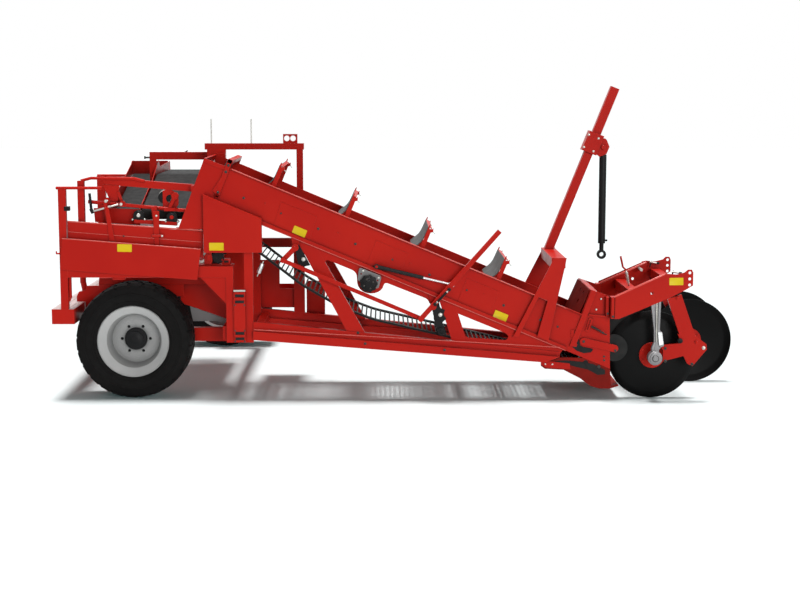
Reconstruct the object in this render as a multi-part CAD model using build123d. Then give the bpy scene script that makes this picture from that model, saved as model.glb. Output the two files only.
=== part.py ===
from build123d import *
import math
import os

os.makedirs("parts", exist_ok=True)

# Offset potato harvester, millimetres.  +X is forward, +Z up, the digging side is -Y.
# The origin lies on the ground under the middle of the machine's box.

# ---------------------------------------------------------------- driving sizes
SHEET = 6.0                 # folded sheet of the elevator and panels
PLATE = 10.0                # flame-cut plate of the frame
FIT = 0.3                   # gap between parts of different bodies that nearly touch

# wheels: flotation tyres on six-hole rims
TYRE_R = 505.0
TYRE_W = 400.0
TYRE_SHOULDER = 45.0
TYRE_WALL = 24.0
RIM_R = 312.0
RIM_WALL = 8.0
RIM_CONE_R = 124.0          # the rim's outer cone falls by half of this before the well
RIM_DISH = 205.0            # depth of the hub recess behind the outer face
HUB_R = 92.0
HUB_LONG = 90.0
STUD_PCD = 246.0
STUD_COUNT = 6
HAND_HOLE_R = 14.0
AXLE_R = 40.0
SPINDLE_CLEAR = 0.05
NEAR_WHEEL = (-2340.0, -1307.0)
FAR_WHEEL = (-1846.0, 1500.0)

# the elevator's two sides, which the discs, the web and the hitch arms follow
ELEV_NEAR = -1547.0
ELEV_WIDE = 850.0
ELEV_FAR = ELEV_NEAR + ELEV_WIDE

# discs that roll on the ridge shoulders
DISC_R = 383.0
DISC_T = 8.0
DISC_DISH = 46.0
DISC_RIM = 60.0
DISC_HUB_R = 112.0
DISC_HUB_T = 14.0
DISC_STUB_R = 30.0
NEAR_DISC = (2157.0, ELEV_NEAR + 54)
LEAD_DISC = (2640.0, ELEV_FAR + 39)
OUTER_DISC = (LEAD_DISC[0], LEAD_DISC[1] + 588)

# elevator: a sloping trough between two sheet sides
ELEV_FOOT = (1788.0, 271.0)
ELEV_SLOPE = 22.65
ELEV_TALL = 375.0           # upright height of the sides
LIP = 34.0
HEAD_TOP_X = -1691.0
HEAD_TOP_Z = 2092.0
HEAD_LOW_X = -1924.0
HEAD_LOW_Z = 1488.0
HEAD_FRONT_X = -1483.0

TAN = math.tan(math.radians(ELEV_SLOPE))
SIN = math.sin(math.radians(ELEV_SLOPE))
COS = math.cos(math.radians(ELEV_SLOPE))

# lower frame rails
RAIL_REAR_X = -1292.0
RAIL_FRONT_X = 1352.0
RAIL_TOP_REAR = 686.0
RAIL_TOP_FRONT = 421.0
RAIL_UPPER = 78.0
RAIL_LOWER = 76.0
RAIL_DEEP = 80.0
RAIL_STEP = 28.0
RAIL_NEAR = ELEV_NEAR - 34.0
RAIL_FAR = ELEV_FAR - 40.0


def floor_z(x):
    """Height of the elevator's lower edge at station x."""
    return ELEV_FOOT[1] + (ELEV_FOOT[0] - x) * TAN


def top_z(x):
    return floor_z(x) + ELEV_TALL


def rail_z(x):
    """Height of the rail's top edge at station x."""
    run = (x - RAIL_REAR_X) / (RAIL_FRONT_X - RAIL_REAR_X)
    return RAIL_TOP_REAR + run * (RAIL_TOP_FRONT - RAIL_TOP_REAR)


def plate(outline, near, far):
    """Extrude an (x, z) outline from y = near to y = far."""
    wire = Polyline(*[(x, near, z) for x, z in outline], close=True)
    return extrude(make_face(wire), amount=far - near, dir=(0, 1, 0))


def block(x0, x1, y0, y1, z0, z1):
    size = (x1 - x0, y1 - y0, z1 - z0)
    return Pos((x0 + x1) / 2, (y0 + y1) / 2, (z0 + z1) / 2) * Box(*size)


def bar(start, end, tall, near, far):
    """Flat or square bar from start to end, both (x, z), centred on that line."""
    run = math.dist(start, end)
    nx = -(end[1] - start[1]) / run * tall / 2
    nz = (end[0] - start[0]) / run * tall / 2
    outline = [(start[0] + nx, start[1] + nz), (end[0] + nx, end[1] + nz),
               (end[0] - nx, end[1] - nz), (start[0] - nx, start[1] - nz)]
    return plate(outline, near, far)


def pin(x, z, radius, near, far):
    """Round bar along Y."""
    return Pos(x, (near + far) / 2, z) * Rot(90, 0, 0) * Cylinder(radius, far - near)


def rod(start, end, radius):
    """Round bar between two points in space."""
    a = Vector(*start)
    b = Vector(*end)
    return extrude(Plane(a, z_dir=b - a) * Circle(radius), amount=(b - a).length)


def boss(x, z, radius, near, far, hole):
    return pin(x, z, radius, near, far) - pin(x, z, hole, near - 1, far + 1)


def turned(profile, x, z):
    """Solid of revolution about a Y axis; the profile is (radius, y)."""
    wire = Polyline(*[(x + r, y, z) for r, y in profile], close=True)
    return revolve(make_face(wire), Axis((x, 0, z), (0, 1, 0)), 360)


def save(name, *solids):
    """Write one node, its solids side by side."""
    kept = []
    for shape in solids:
        kept.extend(shape.solids())
    export_step(Compound(label=name, children=kept), f"parts/{name}.step")


# ---------------------------------------------------------------- wheels
def tyre(x, y):
    half = TYRE_W / 2
    bead = RIM_R + FIT
    crown = TYRE_R - TYRE_WALL - 14
    outside = [(bead, 25), (bead + 60, 0), (TYRE_R - 90, 0), (TYRE_R - TYRE_SHOULDER * 0.6, 14),
               (TYRE_R, TYRE_SHOULDER * 1.6)]
    hollow = [(bead - 1, 2 * TYRE_WALL), (crown, 2 * TYRE_WALL)]
    rings = []
    for half_profile in (outside, hollow):
        near = [(r, y - half + inset) for r, inset in half_profile]
        far = [(r, y + half - inset) for r, inset in reversed(half_profile)]
        rings.append(turned(near + far, x, TYRE_R))
    return rings[0] - rings[1]


def rim(x, y, side):
    """Rim with its disc set back from the outer face; side is -1 on the near wheel."""
    half = TYRE_W / 2
    face = y + side * (half - RIM_DISH)
    well = RIM_R - 3 * RIM_CONE_R / 4
    section = [         # radius, depth from the outer face
        (0, RIM_DISH - 6), (well - 14, RIM_DISH - 6), (well - 9, RIM_DISH - 17),
        (RIM_R - RIM_CONE_R / 2 - 11, 80), (RIM_R - 12, 26), (RIM_R - 8, 20), (RIM_R, 26), (RIM_R, 60),
        (RIM_R - RIM_CONE_R / 2, 88), (well, RIM_DISH - 15), (well, RIM_DISH - 5), (RIM_R, RIM_DISH + 27),
        (RIM_R, TYRE_W - 26), (RIM_R - 22, TYRE_W - 20), (RIM_R - 22 - RIM_WALL, TYRE_W - 26),
        (RIM_R - 2 * RIM_WALL, TYRE_W - 60), (RIM_R - 2 * RIM_WALL, RIM_DISH + 33),
        (well - 14, RIM_DISH + 7), (0, RIM_DISH + 7)]
    body = turned([(r, y + side * (half - depth)) for r, depth in section], x, TYRE_R)
    body += pin(x, TYRE_R, HUB_R, face - HUB_LONG / 2, face + HUB_LONG / 2)
    body -= pin(x, TYRE_R, AXLE_R + SPINDLE_CLEAR,
                face - side * 20 - HUB_LONG, face - side * 20 + HUB_LONG)
    body += pin(x, TYRE_R, HUB_R - 22, *sorted((face + side * 24, face + side * 62)))
    for i in range(STUD_COUNT):
        a = math.radians(360 / STUD_COUNT * i)
        hx = x + STUD_PCD / 2 * math.cos(a)
        hz = TYRE_R + STUD_PCD / 2 * math.sin(a)
        body -= pin(hx, hz, HAND_HOLE_R, face - 20, face + 20)
    return body, face


WHEEL_FACE = {}
for wheel_name, (wheel_x, wheel_y), wheel_side in (("near", NEAR_WHEEL, -1), ("far", FAR_WHEEL, 1)):
    save(f"tyre_{wheel_name}", tyre(wheel_x, wheel_y))
    rim_body, WHEEL_FACE[wheel_name] = rim(wheel_x, wheel_y, wheel_side)
    save(f"rim_{wheel_name}", rim_body)


# ---------------------------------------------------------------- discs
def disc(x, y, side):
    """Dished disc with its hub flange; it bulges towards side."""
    lean = side * DISC_DISH
    flat_r = DISC_R - DISC_RIM
    body = turned([(0, y), (flat_r, y), (DISC_R, y - lean * 0.8), (DISC_R - 4, y - lean * 0.8 + DISC_T),
                   (flat_r, y + DISC_T), (0, y + DISC_T)], x, DISC_R)
    body += pin(x, DISC_R, DISC_HUB_R, y - DISC_HUB_T, y + DISC_T + DISC_HUB_T)
    return body - pin(x, DISC_R, DISC_STUB_R + SPINDLE_CLEAR, y - 99, y + 99)


DISCS = (("near", NEAR_DISC, -1), ("lead", LEAD_DISC, 1), ("outer", OUTER_DISC, 1))
for disc_name, (disc_x, disc_y), disc_side in DISCS:
    save(f"disc_{disc_name}", disc(disc_x, disc_y, disc_side))


# ---------------------------------------------------------------- main rails and legs
def rail(near):
    """Folded rail, its lower band standing out by a step."""
    x0, x1 = RAIL_REAR_X, RAIL_FRONT_X
    upper = plate([(x0, rail_z(x0)), (x1, rail_z(x1)), (x1, rail_z(x1) - RAIL_UPPER / 2),
                   (x0, rail_z(x0) - RAIL_UPPER)], near + RAIL_STEP, near + RAIL_DEEP)
    lower = plate([(x0, rail_z(x0) - RAIL_UPPER), (x1, rail_z(x1) - RAIL_UPPER / 2),
                   (x1 - 129, rail_z(x1) - RAIL_UPPER - 10),
                   (x0, rail_z(x0) - RAIL_UPPER - RAIL_LOWER)], near, near + RAIL_DEEP)
    return upper + lower


save("main_rail_near", rail(RAIL_NEAR))
save("main_rail_far", rail(RAIL_FAR))

RAIL_GAP = (RAIL_NEAR + RAIL_DEEP, RAIL_FAR)
CROSS_TALL = 70.0
cross_rails = []
for cross_x in (-1250.0, -420.0, 500.0):
    low = rail_z(cross_x) - RAIL_UPPER - 20
    cross_rails.append(block(cross_x - 35, cross_x + 35, *RAIL_GAP, low, low + CROSS_TALL))
save("rail_cross_members", *cross_rails)

LEGS = (   # top rear x, top front x, bottom rear x, bottom front x
    (-916.0, -741.0, -490.0, -333.0),
    (300.0, 445.0, 418.0, 552.0),
)
LEG_DEEP = 50.0
leg_solids = []
for leg_near in (ELEV_NEAR, ELEV_FAR - LEG_DEEP):
    for top_rear, top_front, low_rear, low_front in LEGS:
        outline = [(top_rear, floor_z(top_rear)), (top_front, floor_z(top_front)),
                   (low_front, rail_z(low_front)), (low_rear, rail_z(low_rear))]
        leg_solids.append(plate(outline, leg_near, leg_near + LEG_DEEP))
save("elevator_legs", *leg_solids)


# ---------------------------------------------------------------- elevator sides
IN_NEAR = ELEV_NEAR + SHEET      # inner faces of the two sides
IN_FAR = ELEV_FAR - SHEET
POST_TOP = (1611.0, 963.0)       # top of the bulkhead at the intake
POST_LOW_X = 1405.0
POST_LEAN = (POST_TOP[0] - POST_LOW_X) / (POST_TOP[1] - floor_z(POST_LOW_X))
POST_AT_TOP_X = 1533.0


def elevator_side(inner, outer, head):
    """One folded side with its top and bottom lips turned outwards."""
    near, far = sorted((inner, outer))
    out = 1 if outer > inner else -1
    outline = [(HEAD_TOP_X, HEAD_TOP_Z),
               (HEAD_FRONT_X, top_z(HEAD_FRONT_X)), (POST_AT_TOP_X, top_z(POST_AT_TOP_X)),
               (POST_LOW_X, floor_z(POST_LOW_X)), (-1208.0, floor_z(-1208.0)), *head]
    side = plate(outline, near, far)
    lip = sorted((outer, outer + out * LIP))
    for x0, x1, height, rise in ((HEAD_FRONT_X + 16, POST_AT_TOP_X, top_z, -SHEET),
                                 (-1208.0, POST_LOW_X, floor_z, LIP)):
        strip = [(x0, height(x0)), (x1, height(x1)), (x1, height(x1) + rise),
                 (x0, height(x0) + rise)]
        depth = lip if rise < 0 else sorted((outer, outer + out * LIP * 0.5))
        side += plate(strip, *depth)
    return side


# hydraulic drive bracket, a lobed plate under the near side's lower edge
MOTOR = (-299.0, 1017.0)
MOTOR_R = 72.0
DRIVE_OUT = ELEV_NEAR - LIP * 0.5
mount = plate([(-406.0, floor_z(-406.0)), (-168.0, floor_z(-168.0)), (-172.0, 1010.0), (-215.0, 975.0),
               (-300.0, 960.0), (-365.0, 985.0), (-400.0, 1060.0)], ELEV_NEAR, IN_NEAR)
mount += plate([(-352.0, 1150.0), (-200.0, 1085.0), (-214.0, 1004.0), (-372.0, 1072.0)],
               DRIVE_OUT - PLATE, DRIVE_OUT)
mount += pin(*MOTOR, MOTOR_R - 18, DRIVE_OUT, ELEV_NEAR)
HEAD_LIP_T = 8.0
mount += plate([(HEAD_TOP_X, HEAD_TOP_Z), (HEAD_FRONT_X, top_z(HEAD_FRONT_X)),
                (HEAD_FRONT_X, top_z(HEAD_FRONT_X) - LIP), (HEAD_TOP_X - 13, HEAD_TOP_Z - LIP)],
               ELEV_NEAR - HEAD_LIP_T, ELEV_NEAR)
NEAR_HEAD = [(-1290.0, HEAD_LOW_Z), (HEAD_LOW_X, HEAD_LOW_Z)]
FAR_HEAD = [(-1500.0, 1590.0), (-1710.0, 1830.0)]
save("elevator_side_near", elevator_side(IN_NEAR, ELEV_NEAR, NEAR_HEAD) + mount)
save("elevator_side_far", elevator_side(IN_FAR, ELEV_FAR, FAR_HEAD))

# deflector sheet across the head, and beams across the trough inside the web's loop
DEFLECT = 110.0
lean = (HEAD_TOP_X - HEAD_LOW_X) / (HEAD_TOP_Z - HEAD_LOW_Z)
head_back = plate([(HEAD_TOP_X - lean * DEFLECT, HEAD_TOP_Z - DEFLECT), (HEAD_TOP_X, HEAD_TOP_Z),
                   (HEAD_TOP_X + 2 * SHEET, HEAD_TOP_Z - SHEET),
                   (HEAD_TOP_X - lean * DEFLECT + 2 * SHEET, HEAD_TOP_Z - DEFLECT)], IN_NEAR, IN_FAR)
save("head_cover", head_back)

BEAM = 60.0
cross = []
for beam_x in (-1120.0, -350.0, 420.0, 1150.0):
    low = floor_z(beam_x) + 30
    cross.append(block(beam_x - BEAM / 2, beam_x + BEAM / 2, IN_NEAR, IN_FAR, low, low + BEAM))
save("elevator_cross_beams", *cross)

# guard over the head drive
GUARD_OUT = 56.0
GUARD = [(-1702.0, 1290.0), (-1208.0, 1290.0), (-1208.0, 1581.0), (-1702.0, 1786.0)]
guard = plate(GUARD, ELEV_NEAR - LIP - GUARD_OUT / 2, ELEV_NEAR)
guard -= plate([(-1702.0 + SHEET, 1290.0 + SHEET), (-1208.0 - SHEET, 1290.0 + SHEET),
                (-1208.0 - SHEET, 1581.0 - SHEET), (-1702.0 + SHEET, 1786.0 - 1.5 * SHEET)],
               ELEV_NEAR - LIP - GUARD_OUT / 2 + SHEET, ELEV_NEAR + 1)
save("head_guard", guard)

# ---------------------------------------------------------------- web of rods on two belts, and its rollers
WEB_NEAR = IN_NEAR + 56
WEB_FAR = IN_FAR - 57
WEB_T = 16.0
WEB_BELT_W = 60.0
WEB_RISE = 150.0            # the carrying run above the trough's lower edge
WEB_PATH = (                # corner x, z and bend radius of the closed loop's inner face
    (-1735.0, floor_z(-1735.0) + WEB_RISE, 90.0),
    (-1690.0, 1640.0, 90.0),
    (-1215.0, 1268.0, 700.0),
    (-880.0, 1008.0, 900.0),
    (-545.0, 812.0, 900.0),
    (-260.0, 702.0, 900.0),
    (300.0, 572.0, 900.0),
    (1580.0, 262.0, 60.0),
    (1742.0, 318.0, 55.0),
    (1700.0, floor_z(1700.0) + WEB_RISE, 50.0),
)


def corner_centre(path, index):
    """Centre of the bend at one corner of a closed path of (u, v, radius)."""
    ax, az, _ = path[index - 1]
    bx, bz, radius = path[index]
    cx, cz, _ = path[(index + 1) % len(path)]
    la, lc = math.dist((ax, az), (bx, bz)), math.dist((cx, cz), (bx, bz))
    ux, uz = (ax - bx) / la, (az - bz) / la
    vx, vz = (cx - bx) / lc, (cz - bz) / lc
    half = math.acos(max(-1.0, min(1.0, ux * vx + uz * vz))) / 2
    wx, wz = ux + vx, uz + vz
    run = radius / math.sin(half) / math.hypot(wx, wz)
    return bx + wx * run, bz + wz * run


def web_ring(near, far):
    corners = [(x, near, z) for x, z, _ in WEB_PATH]
    path = FilletPolyline(*corners, radius=[r for _, _, r in WEB_PATH], close=True)
    inner = make_face(path)
    outer = make_face(offset(path, amount=WEB_T, kind=Kind.ARC))
    ring = outer - inner if outer.area > inner.area else inner - outer
    return extrude(ring, amount=far - near, dir=(0, 1, 0))


WEB_PITCH = 42.0
WEB_ROD = 11.0
inside = FilletPolyline(*[(x, 0, z) for x, z, _ in WEB_PATH], radius=[r for _, _, r in WEB_PATH], close=True)
rod_count = round(inside.length / WEB_PITCH)
web = web_ring(WEB_NEAR, WEB_NEAR + WEB_BELT_W) + web_ring(WEB_FAR - WEB_BELT_W, WEB_FAR)
web_rods = []
for i in range(rod_count):
    spot = inside @ (i / rod_count)
    way = inside % (i / rod_count)
    web_rods.append(Pos(spot.X + way.Z * WEB_T / 2, (WEB_NEAR + WEB_FAR) / 2, spot.Z - way.X * WEB_T / 2)
                    * Rot(0, -math.degrees(math.atan2(way.Z, way.X)), 0)
                    * Box(WEB_ROD, WEB_FAR - WEB_NEAR - WEB_BELT_W, WEB_ROD))
web += web_rods
save("rod_web", web)

SHAFT_R = 22.0
web_rollers = []
for corner, roller_r in ((0, 90.0), (1, 90.0), (7, 60.0), (8, 55.0)):
    rx, rz = corner_centre(WEB_PATH, corner)
    wheel = pin(rx, rz, SHAFT_R, IN_NEAR, IN_FAR)
    for near in (WEB_NEAR, WEB_FAR - WEB_BELT_W):
        wheel += pin(rx, rz, roller_r - FIT, near, near + WEB_BELT_W)
    web_rollers.append(wheel)

# idler on the returning run, hung from the sides on two plates
IDLER_R = 40.0
IDLER_X = 323.0
run_x, run_z, _ = WEB_PATH[6]
end_x, end_z, _ = WEB_PATH[7]
fall = (end_z - run_z) / (end_x - run_x)
IDLER_Z = run_z + fall * (IDLER_X - run_x) + (IDLER_R + FIT) * math.hypot(1, fall)
idler = pin(IDLER_X, IDLER_Z, SHAFT_R, IN_NEAR, IN_FAR)
hanger = [(IDLER_X - 62, floor_z(IDLER_X - 62)), (IDLER_X - 24, floor_z(IDLER_X - 24)),
          (IDLER_X + 20, IDLER_Z + 40), (IDLER_X + 26, IDLER_Z - 20), (IDLER_X - 26, IDLER_Z - 20),
          (IDLER_X - 62, IDLER_Z + 100)]
for belt_near, hanger_near in ((WEB_NEAR, ELEV_NEAR), (WEB_FAR - WEB_BELT_W, IN_FAR)):
    idler += pin(IDLER_X, IDLER_Z, IDLER_R, belt_near, belt_near + WEB_BELT_W)
    idler += plate(hanger, hanger_near, hanger_near + SHEET)
web_rollers.append(idler)

# black bearing plate behind the first leg
LEG_BEARING = [(-932.0, floor_z(-932.0)), (-920.0, floor_z(-920.0)), (-799.0, 1175.0), (-850.0, 1164.0),
               (-905.0, 1190.0), (-918.0, 1260.0)]
leg_bearing = plate(LEG_BEARING, ELEV_NEAR, IN_NEAR) + pin(-856.0, 1228.0, 24.0, ELEV_NEAR - 14, IN_NEAR)
web_rollers.append(leg_bearing)
save("web_rollers", *web_rollers)

# ---------------------------------------------------------------- flap frames and rubber flaps
FLAP_X = (-1105.0, -485.0, 160.0, 815.0)
FLAP_UP = 205.0             # post above the side's top edge, square to the slope
FLAP_W = 36.0
RUBBER_T = 8.0
frames = []
rubbers = []
for flap_x in FLAP_X:
    foot = (flap_x - 60 * SIN, top_z(flap_x) - 60 * COS)
    head = (flap_x + FLAP_UP * SIN, top_z(flap_x) + FLAP_UP * COS)
    frame = bar(head, (head[0] - FLAP_W * SIN, head[1] - FLAP_W * COS), FLAP_W, IN_NEAR + 10, IN_FAR - 10)
    for near in (IN_NEAR, IN_FAR - 10):
        frame += bar(foot, head, FLAP_W, near, near + 10)
    frames.append(frame)
    drop = (flap_x + 8 * SIN, top_z(flap_x) + 8 * COS)
    bottom = (flap_x - 70 * SIN, top_z(flap_x) - 70 * COS)
    shift = FLAP_W / 2 + RUBBER_T / 2
    top_pt = (head[0] - 10 * SIN - shift * COS, head[1] - 10 * COS + shift * SIN)
    low_pt = (bottom[0] - shift * COS, bottom[1] + shift * SIN)
    rubbers.append(bar(top_pt, low_pt, RUBBER_T, IN_NEAR + 12, IN_FAR - 12))

# the head's frame stands outside the sides, its near brace over the folded lip
BRACE_FOOT = (-1589.0, 1775.0)
BRACE_TOP = (-1466.0, 2079.0)
BRACE_W = 42.0
BRACE_Y = (ELEV_NEAR - HEAD_LIP_T - 8, ELEV_FAR + 8)
brace_run = math.dist(BRACE_FOOT, BRACE_TOP)
BU = ((BRACE_TOP[0] - BRACE_FOOT[0]) / brace_run, (BRACE_TOP[1] - BRACE_FOOT[1]) / brace_run)
brace = bar(BRACE_FOOT, BRACE_TOP, BRACE_W, BRACE_Y[0], BRACE_Y[0] + 8)
brace += pin(*BRACE_FOOT, BRACE_W / 2, BRACE_Y[0], ELEV_NEAR)
brace += bar(BRACE_FOOT, BRACE_TOP, BRACE_W, ELEV_FAR, BRACE_Y[1])
brace += bar((BRACE_TOP[0] - BU[0] * FLAP_W, BRACE_TOP[1] - BU[1] * FLAP_W), BRACE_TOP, BRACE_W, *BRACE_Y)
frames.append(brace)
hang = (BRACE_TOP[0] - BU[0] * 20 - BU[1] * (BRACE_W + RUBBER_T) / 2,
        BRACE_TOP[1] - BU[1] * 20 + BU[0] * (BRACE_W + RUBBER_T) / 2)
rubbers.append(bar(hang, (hang[0] - BU[0] * 130, hang[1] - BU[1] * 130), RUBBER_T, IN_NEAR + 12, IN_FAR - 12))
save("flap_frames", *frames)
save("flap_rubbers", *rubbers)

# ---------------------------------------------------------------- mast on its bridge
MAST_NEAR = ELEV_NEAR - LIP - PLATE
MAST_FAR = ELEV_FAR + LIP + PLATE
MAST_TOP_Z = 1240.0
MAST_TOP = (1287.0, 1395.0)
MAST_FOOT = (944.0, 560.0)
ARCH = [(MAST_TOP[0], MAST_TOP_Z), (MAST_TOP[1], MAST_TOP_Z), (1384.0, 1177.0), (1327.0, 915.0),
        (1247.0, 520.0), (1150.0, 560.0), (1237.0, 872.0), (1158.0, 904.0), (990.0, 560.0), MAST_FOOT]
mast_sides = []
for near in (MAST_NEAR, MAST_FAR - PLATE):
    side = plate(ARCH, near, near + PLATE)
    mast_sides.append(side)
BRIDGE_TALL = 90.0
bridge = block(MAST_TOP[0] - 20, MAST_TOP[1] - 8, MAST_NEAR + PLATE, MAST_FAR - PLATE,
               MAST_TOP_Z - BRIDGE_TALL, MAST_TOP_Z)
save("mast_bridge", mast_sides[0] + bridge + mast_sides[1])

MAST_Y = ELEV_FAR - 93
MAST_SQ = 78.0
MAST_BASE = (1322.0, MAST_TOP_Z)
MAST_HEAD = (1898.0, 2686.0)
run = math.dist(MAST_BASE, MAST_HEAD)
MU = ((MAST_HEAD[0] - MAST_BASE[0]) / run, (MAST_HEAD[1] - MAST_BASE[1]) / run)
mast = bar((MAST_BASE[0] - MU[0] * 60, MAST_BASE[1] - MU[1] * 60), MAST_HEAD, MAST_SQ,
           MAST_Y - MAST_SQ / 2, MAST_Y + MAST_SQ / 2)
mast -= block(MAST_BASE[0] - 200, MAST_BASE[0] + 200, MAST_Y - 99, MAST_Y + 99, MAST_TOP_Z - 200,
              MAST_TOP_Z)
save("mast", mast)

CLAMP_LONG = 185.0
CLAMP_SQ = 140.0
CLAMP_MID = (1700.0, 2196.0)
along = (CLAMP_MID[0] - MAST_BASE[0]) * MU[0] + (CLAMP_MID[1] - MAST_BASE[1]) * MU[1]
CLAMP_AT = (MAST_BASE[0] + MU[0] * along, MAST_BASE[1] + MU[1] * along)
clamp_ends = [(CLAMP_AT[0] + s * MU[0] * CLAMP_LONG / 2, CLAMP_AT[1] + s * MU[1] * CLAMP_LONG / 2)
              for s in (-1, 1)]
clamp = bar(*clamp_ends, CLAMP_SQ, MAST_Y - CLAMP_SQ / 2, MAST_Y + CLAMP_SQ / 2)
clamp -= bar(*[(c[0] + s * MU[0] * 9, c[1] + s * MU[1] * 9) for c, s in zip(clamp_ends, (-1, 1))],
             MAST_SQ, MAST_Y - MAST_SQ / 2, MAST_Y + MAST_SQ / 2)
LIFT_PIN = (1802.0, 2150.0)
LIFT_PIN_R = 12.5
LUG_T = 14.0
LUG_GAP = 44.0
lug = [(CLAMP_AT[0] + 30, CLAMP_AT[1] + 10), (LIFT_PIN[0] + 6, LIFT_PIN[1] + 26),
       (LIFT_PIN[0] + 28, LIFT_PIN[1]), (LIFT_PIN[0] + 6, LIFT_PIN[1] - 26),
       (CLAMP_AT[0] + 24, CLAMP_AT[1] - 90)]
lug_cut = bar(*clamp_ends, CLAMP_SQ, MAST_Y - CLAMP_SQ, MAST_Y + CLAMP_SQ)
for near in (MAST_Y - LUG_GAP / 2 - LUG_T, MAST_Y + LUG_GAP / 2):
    clamp += plate(lug, near, near + LUG_T) - lug_cut
clamp += pin(*LIFT_PIN, LIFT_PIN_R, MAST_Y - LUG_GAP / 2 - LUG_T, MAST_Y + LUG_GAP / 2 + LUG_T)
save("mast_clamp", clamp)

# hanging lift cylinder: barrel with its eye, and the rod with its eye
BARREL_R = 33.0
BARREL_TOP = LIFT_PIN[1] - 60.0
BARREL_LOW = 1290.0
ROD_R = 20.0
ROD_BORE = ROD_R + 0.05
EYE_Z = 1190.0
EYE_R = 42.0
EYE_HOLE = 20.0
EYE_T = 40.0
barrel = Pos(LIFT_PIN[0], MAST_Y, (BARREL_TOP + BARREL_LOW) / 2) * Cylinder(
    BARREL_R, BARREL_TOP - BARREL_LOW)
barrel += boss(*LIFT_PIN, 30.0, MAST_Y - EYE_T / 2, MAST_Y + EYE_T / 2, LIFT_PIN_R + 0.05)
barrel += block(LIFT_PIN[0] - 20, LIFT_PIN[0] + 20, MAST_Y - EYE_T / 2, MAST_Y + EYE_T / 2,
                BARREL_TOP - 5, LIFT_PIN[1] - 24) - pin(*LIFT_PIN, 20.0, MAST_Y - 99, MAST_Y + 99)
barrel += Pos(LIFT_PIN[0] + BARREL_R + 8, MAST_Y, BARREL_LOW + 26) * Rot(0, 90, 0) * Cylinder(9, 22)
ROD_TOP = BARREL_TOP - 120.0
barrel -= Pos(LIFT_PIN[0], MAST_Y, (ROD_TOP + 40 + BARREL_LOW - 5) / 2) * Cylinder(
    ROD_BORE, ROD_TOP + 40 - BARREL_LOW + 5)
save("lift_barrel", barrel)
lift_rod = Pos(LIFT_PIN[0], MAST_Y, (ROD_TOP + EYE_Z + EYE_R - 6) / 2) * Cylinder(
    ROD_R, ROD_TOP - EYE_Z - EYE_R + 6)
lift_rod += boss(LIFT_PIN[0], EYE_Z, EYE_R, MAST_Y - EYE_T / 2, MAST_Y + EYE_T / 2, EYE_HOLE)
save("lift_rod", lift_rod)

# ---------------------------------------------------------------- intake frame and hitch arms
front_sides = []
for near in (ELEV_NEAR, ELEV_FAR - SHEET):
    front_sides.append(plate([POST_TOP, (1774.0, 908.0), (ELEV_FOOT[0], ELEV_FOOT[1]),
                              (POST_LOW_X, floor_z(POST_LOW_X)), (POST_AT_TOP_X, top_z(POST_AT_TOP_X))],
                             near, near + SHEET))
bulkhead = plate([POST_TOP, (POST_TOP[0] + 10, POST_TOP[1] - 4), (1540.0, 745.0), (1530.0, 749.0)],
                 IN_NEAR, IN_FAR)
bulk_lip = plate([POST_TOP, (POST_TOP[0] + 60, POST_TOP[1] - 20), (POST_TOP[0] + 58, POST_TOP[1] - 28),
                  (POST_TOP[0], POST_TOP[1] - 10)], IN_NEAR, IN_FAR)
intake = front_sides[0] + bulkhead + bulk_lip + front_sides[1]
intake += pin(1690.0, 640.0, 30.0, IN_NEAR, IN_FAR)
intake += plate([(POST_TOP[0] + 6, POST_TOP[1] - 2), (POST_TOP[0] + 50, POST_TOP[1] - 17),
                 (1484.0, 470.0), (1432.0, 470.0)],
                ELEV_NEAR - 16, ELEV_NEAR)
intake += plate([(1597.0, 752.0), (1755.0, 734.0), (1755.0, 722.0), (1597.0, 740.0)],
                ELEV_NEAR - 22, ELEV_NEAR)
handle = plate([(1600.0, 717.0), (1634.0, 705.0), (1600.0, 592.0), (1566.0, 604.0)],
               ELEV_NEAR - 12, ELEV_NEAR)
handle -= plate([(1603.0, 702.0), (1616.0, 697.0), (1590.0, 612.0), (1577.0, 617.0)],
                ELEV_NEAR - 13, ELEV_NEAR - 2)
intake += handle
save("intake_frame", intake)

ARM_NEAR = ELEV_NEAR - 107
ARM_FAR_OUT = ELEV_FAR + 110
HITCH_X = 2441.0
HITCH_Z = (1118.0, 1066.0, 1014.0)
HITCH_R = 12.5
ARM_OUTLINE = [(1807.0, 921.0), (2239.0, 1111.0), (2330.0, 1104.0), (2398.0, 1122.0), (2424.0, 1146.0),
               (2458.0, 1146.0), (2470.0, 1120.0), (2470.0, 1010.0), (2408.0, 972.0), (2258.0, 896.0),
               (1842.0, 722.0), (1807.0, 722.0)]


def hitch_arm(face, joint_near, joint_far):
    """Plate arm with the hitch ear; the fold at its rear reaches the intake side."""
    arm = plate(ARM_OUTLINE, face, face + PLATE)
    for hole_z in HITCH_Z:
        arm -= pin(HITCH_X, hole_z, HITCH_R, face - 1, face + PLATE + 1)
    arm -= pin(2122.0, 943.0, HITCH_R, face - 1, face + PLATE + 1)
    arm += block(1774.0, 1807.0 + PLATE, joint_near, joint_far, 722.0, 908.0)
    return arm


save("hitch_arm_near", hitch_arm(ARM_NEAR, ARM_NEAR + PLATE, ELEV_NEAR))
save("hitch_arm_far", hitch_arm(ARM_FAR_OUT - PLATE, ELEV_FAR, ARM_FAR_OUT - PLATE))

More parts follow.
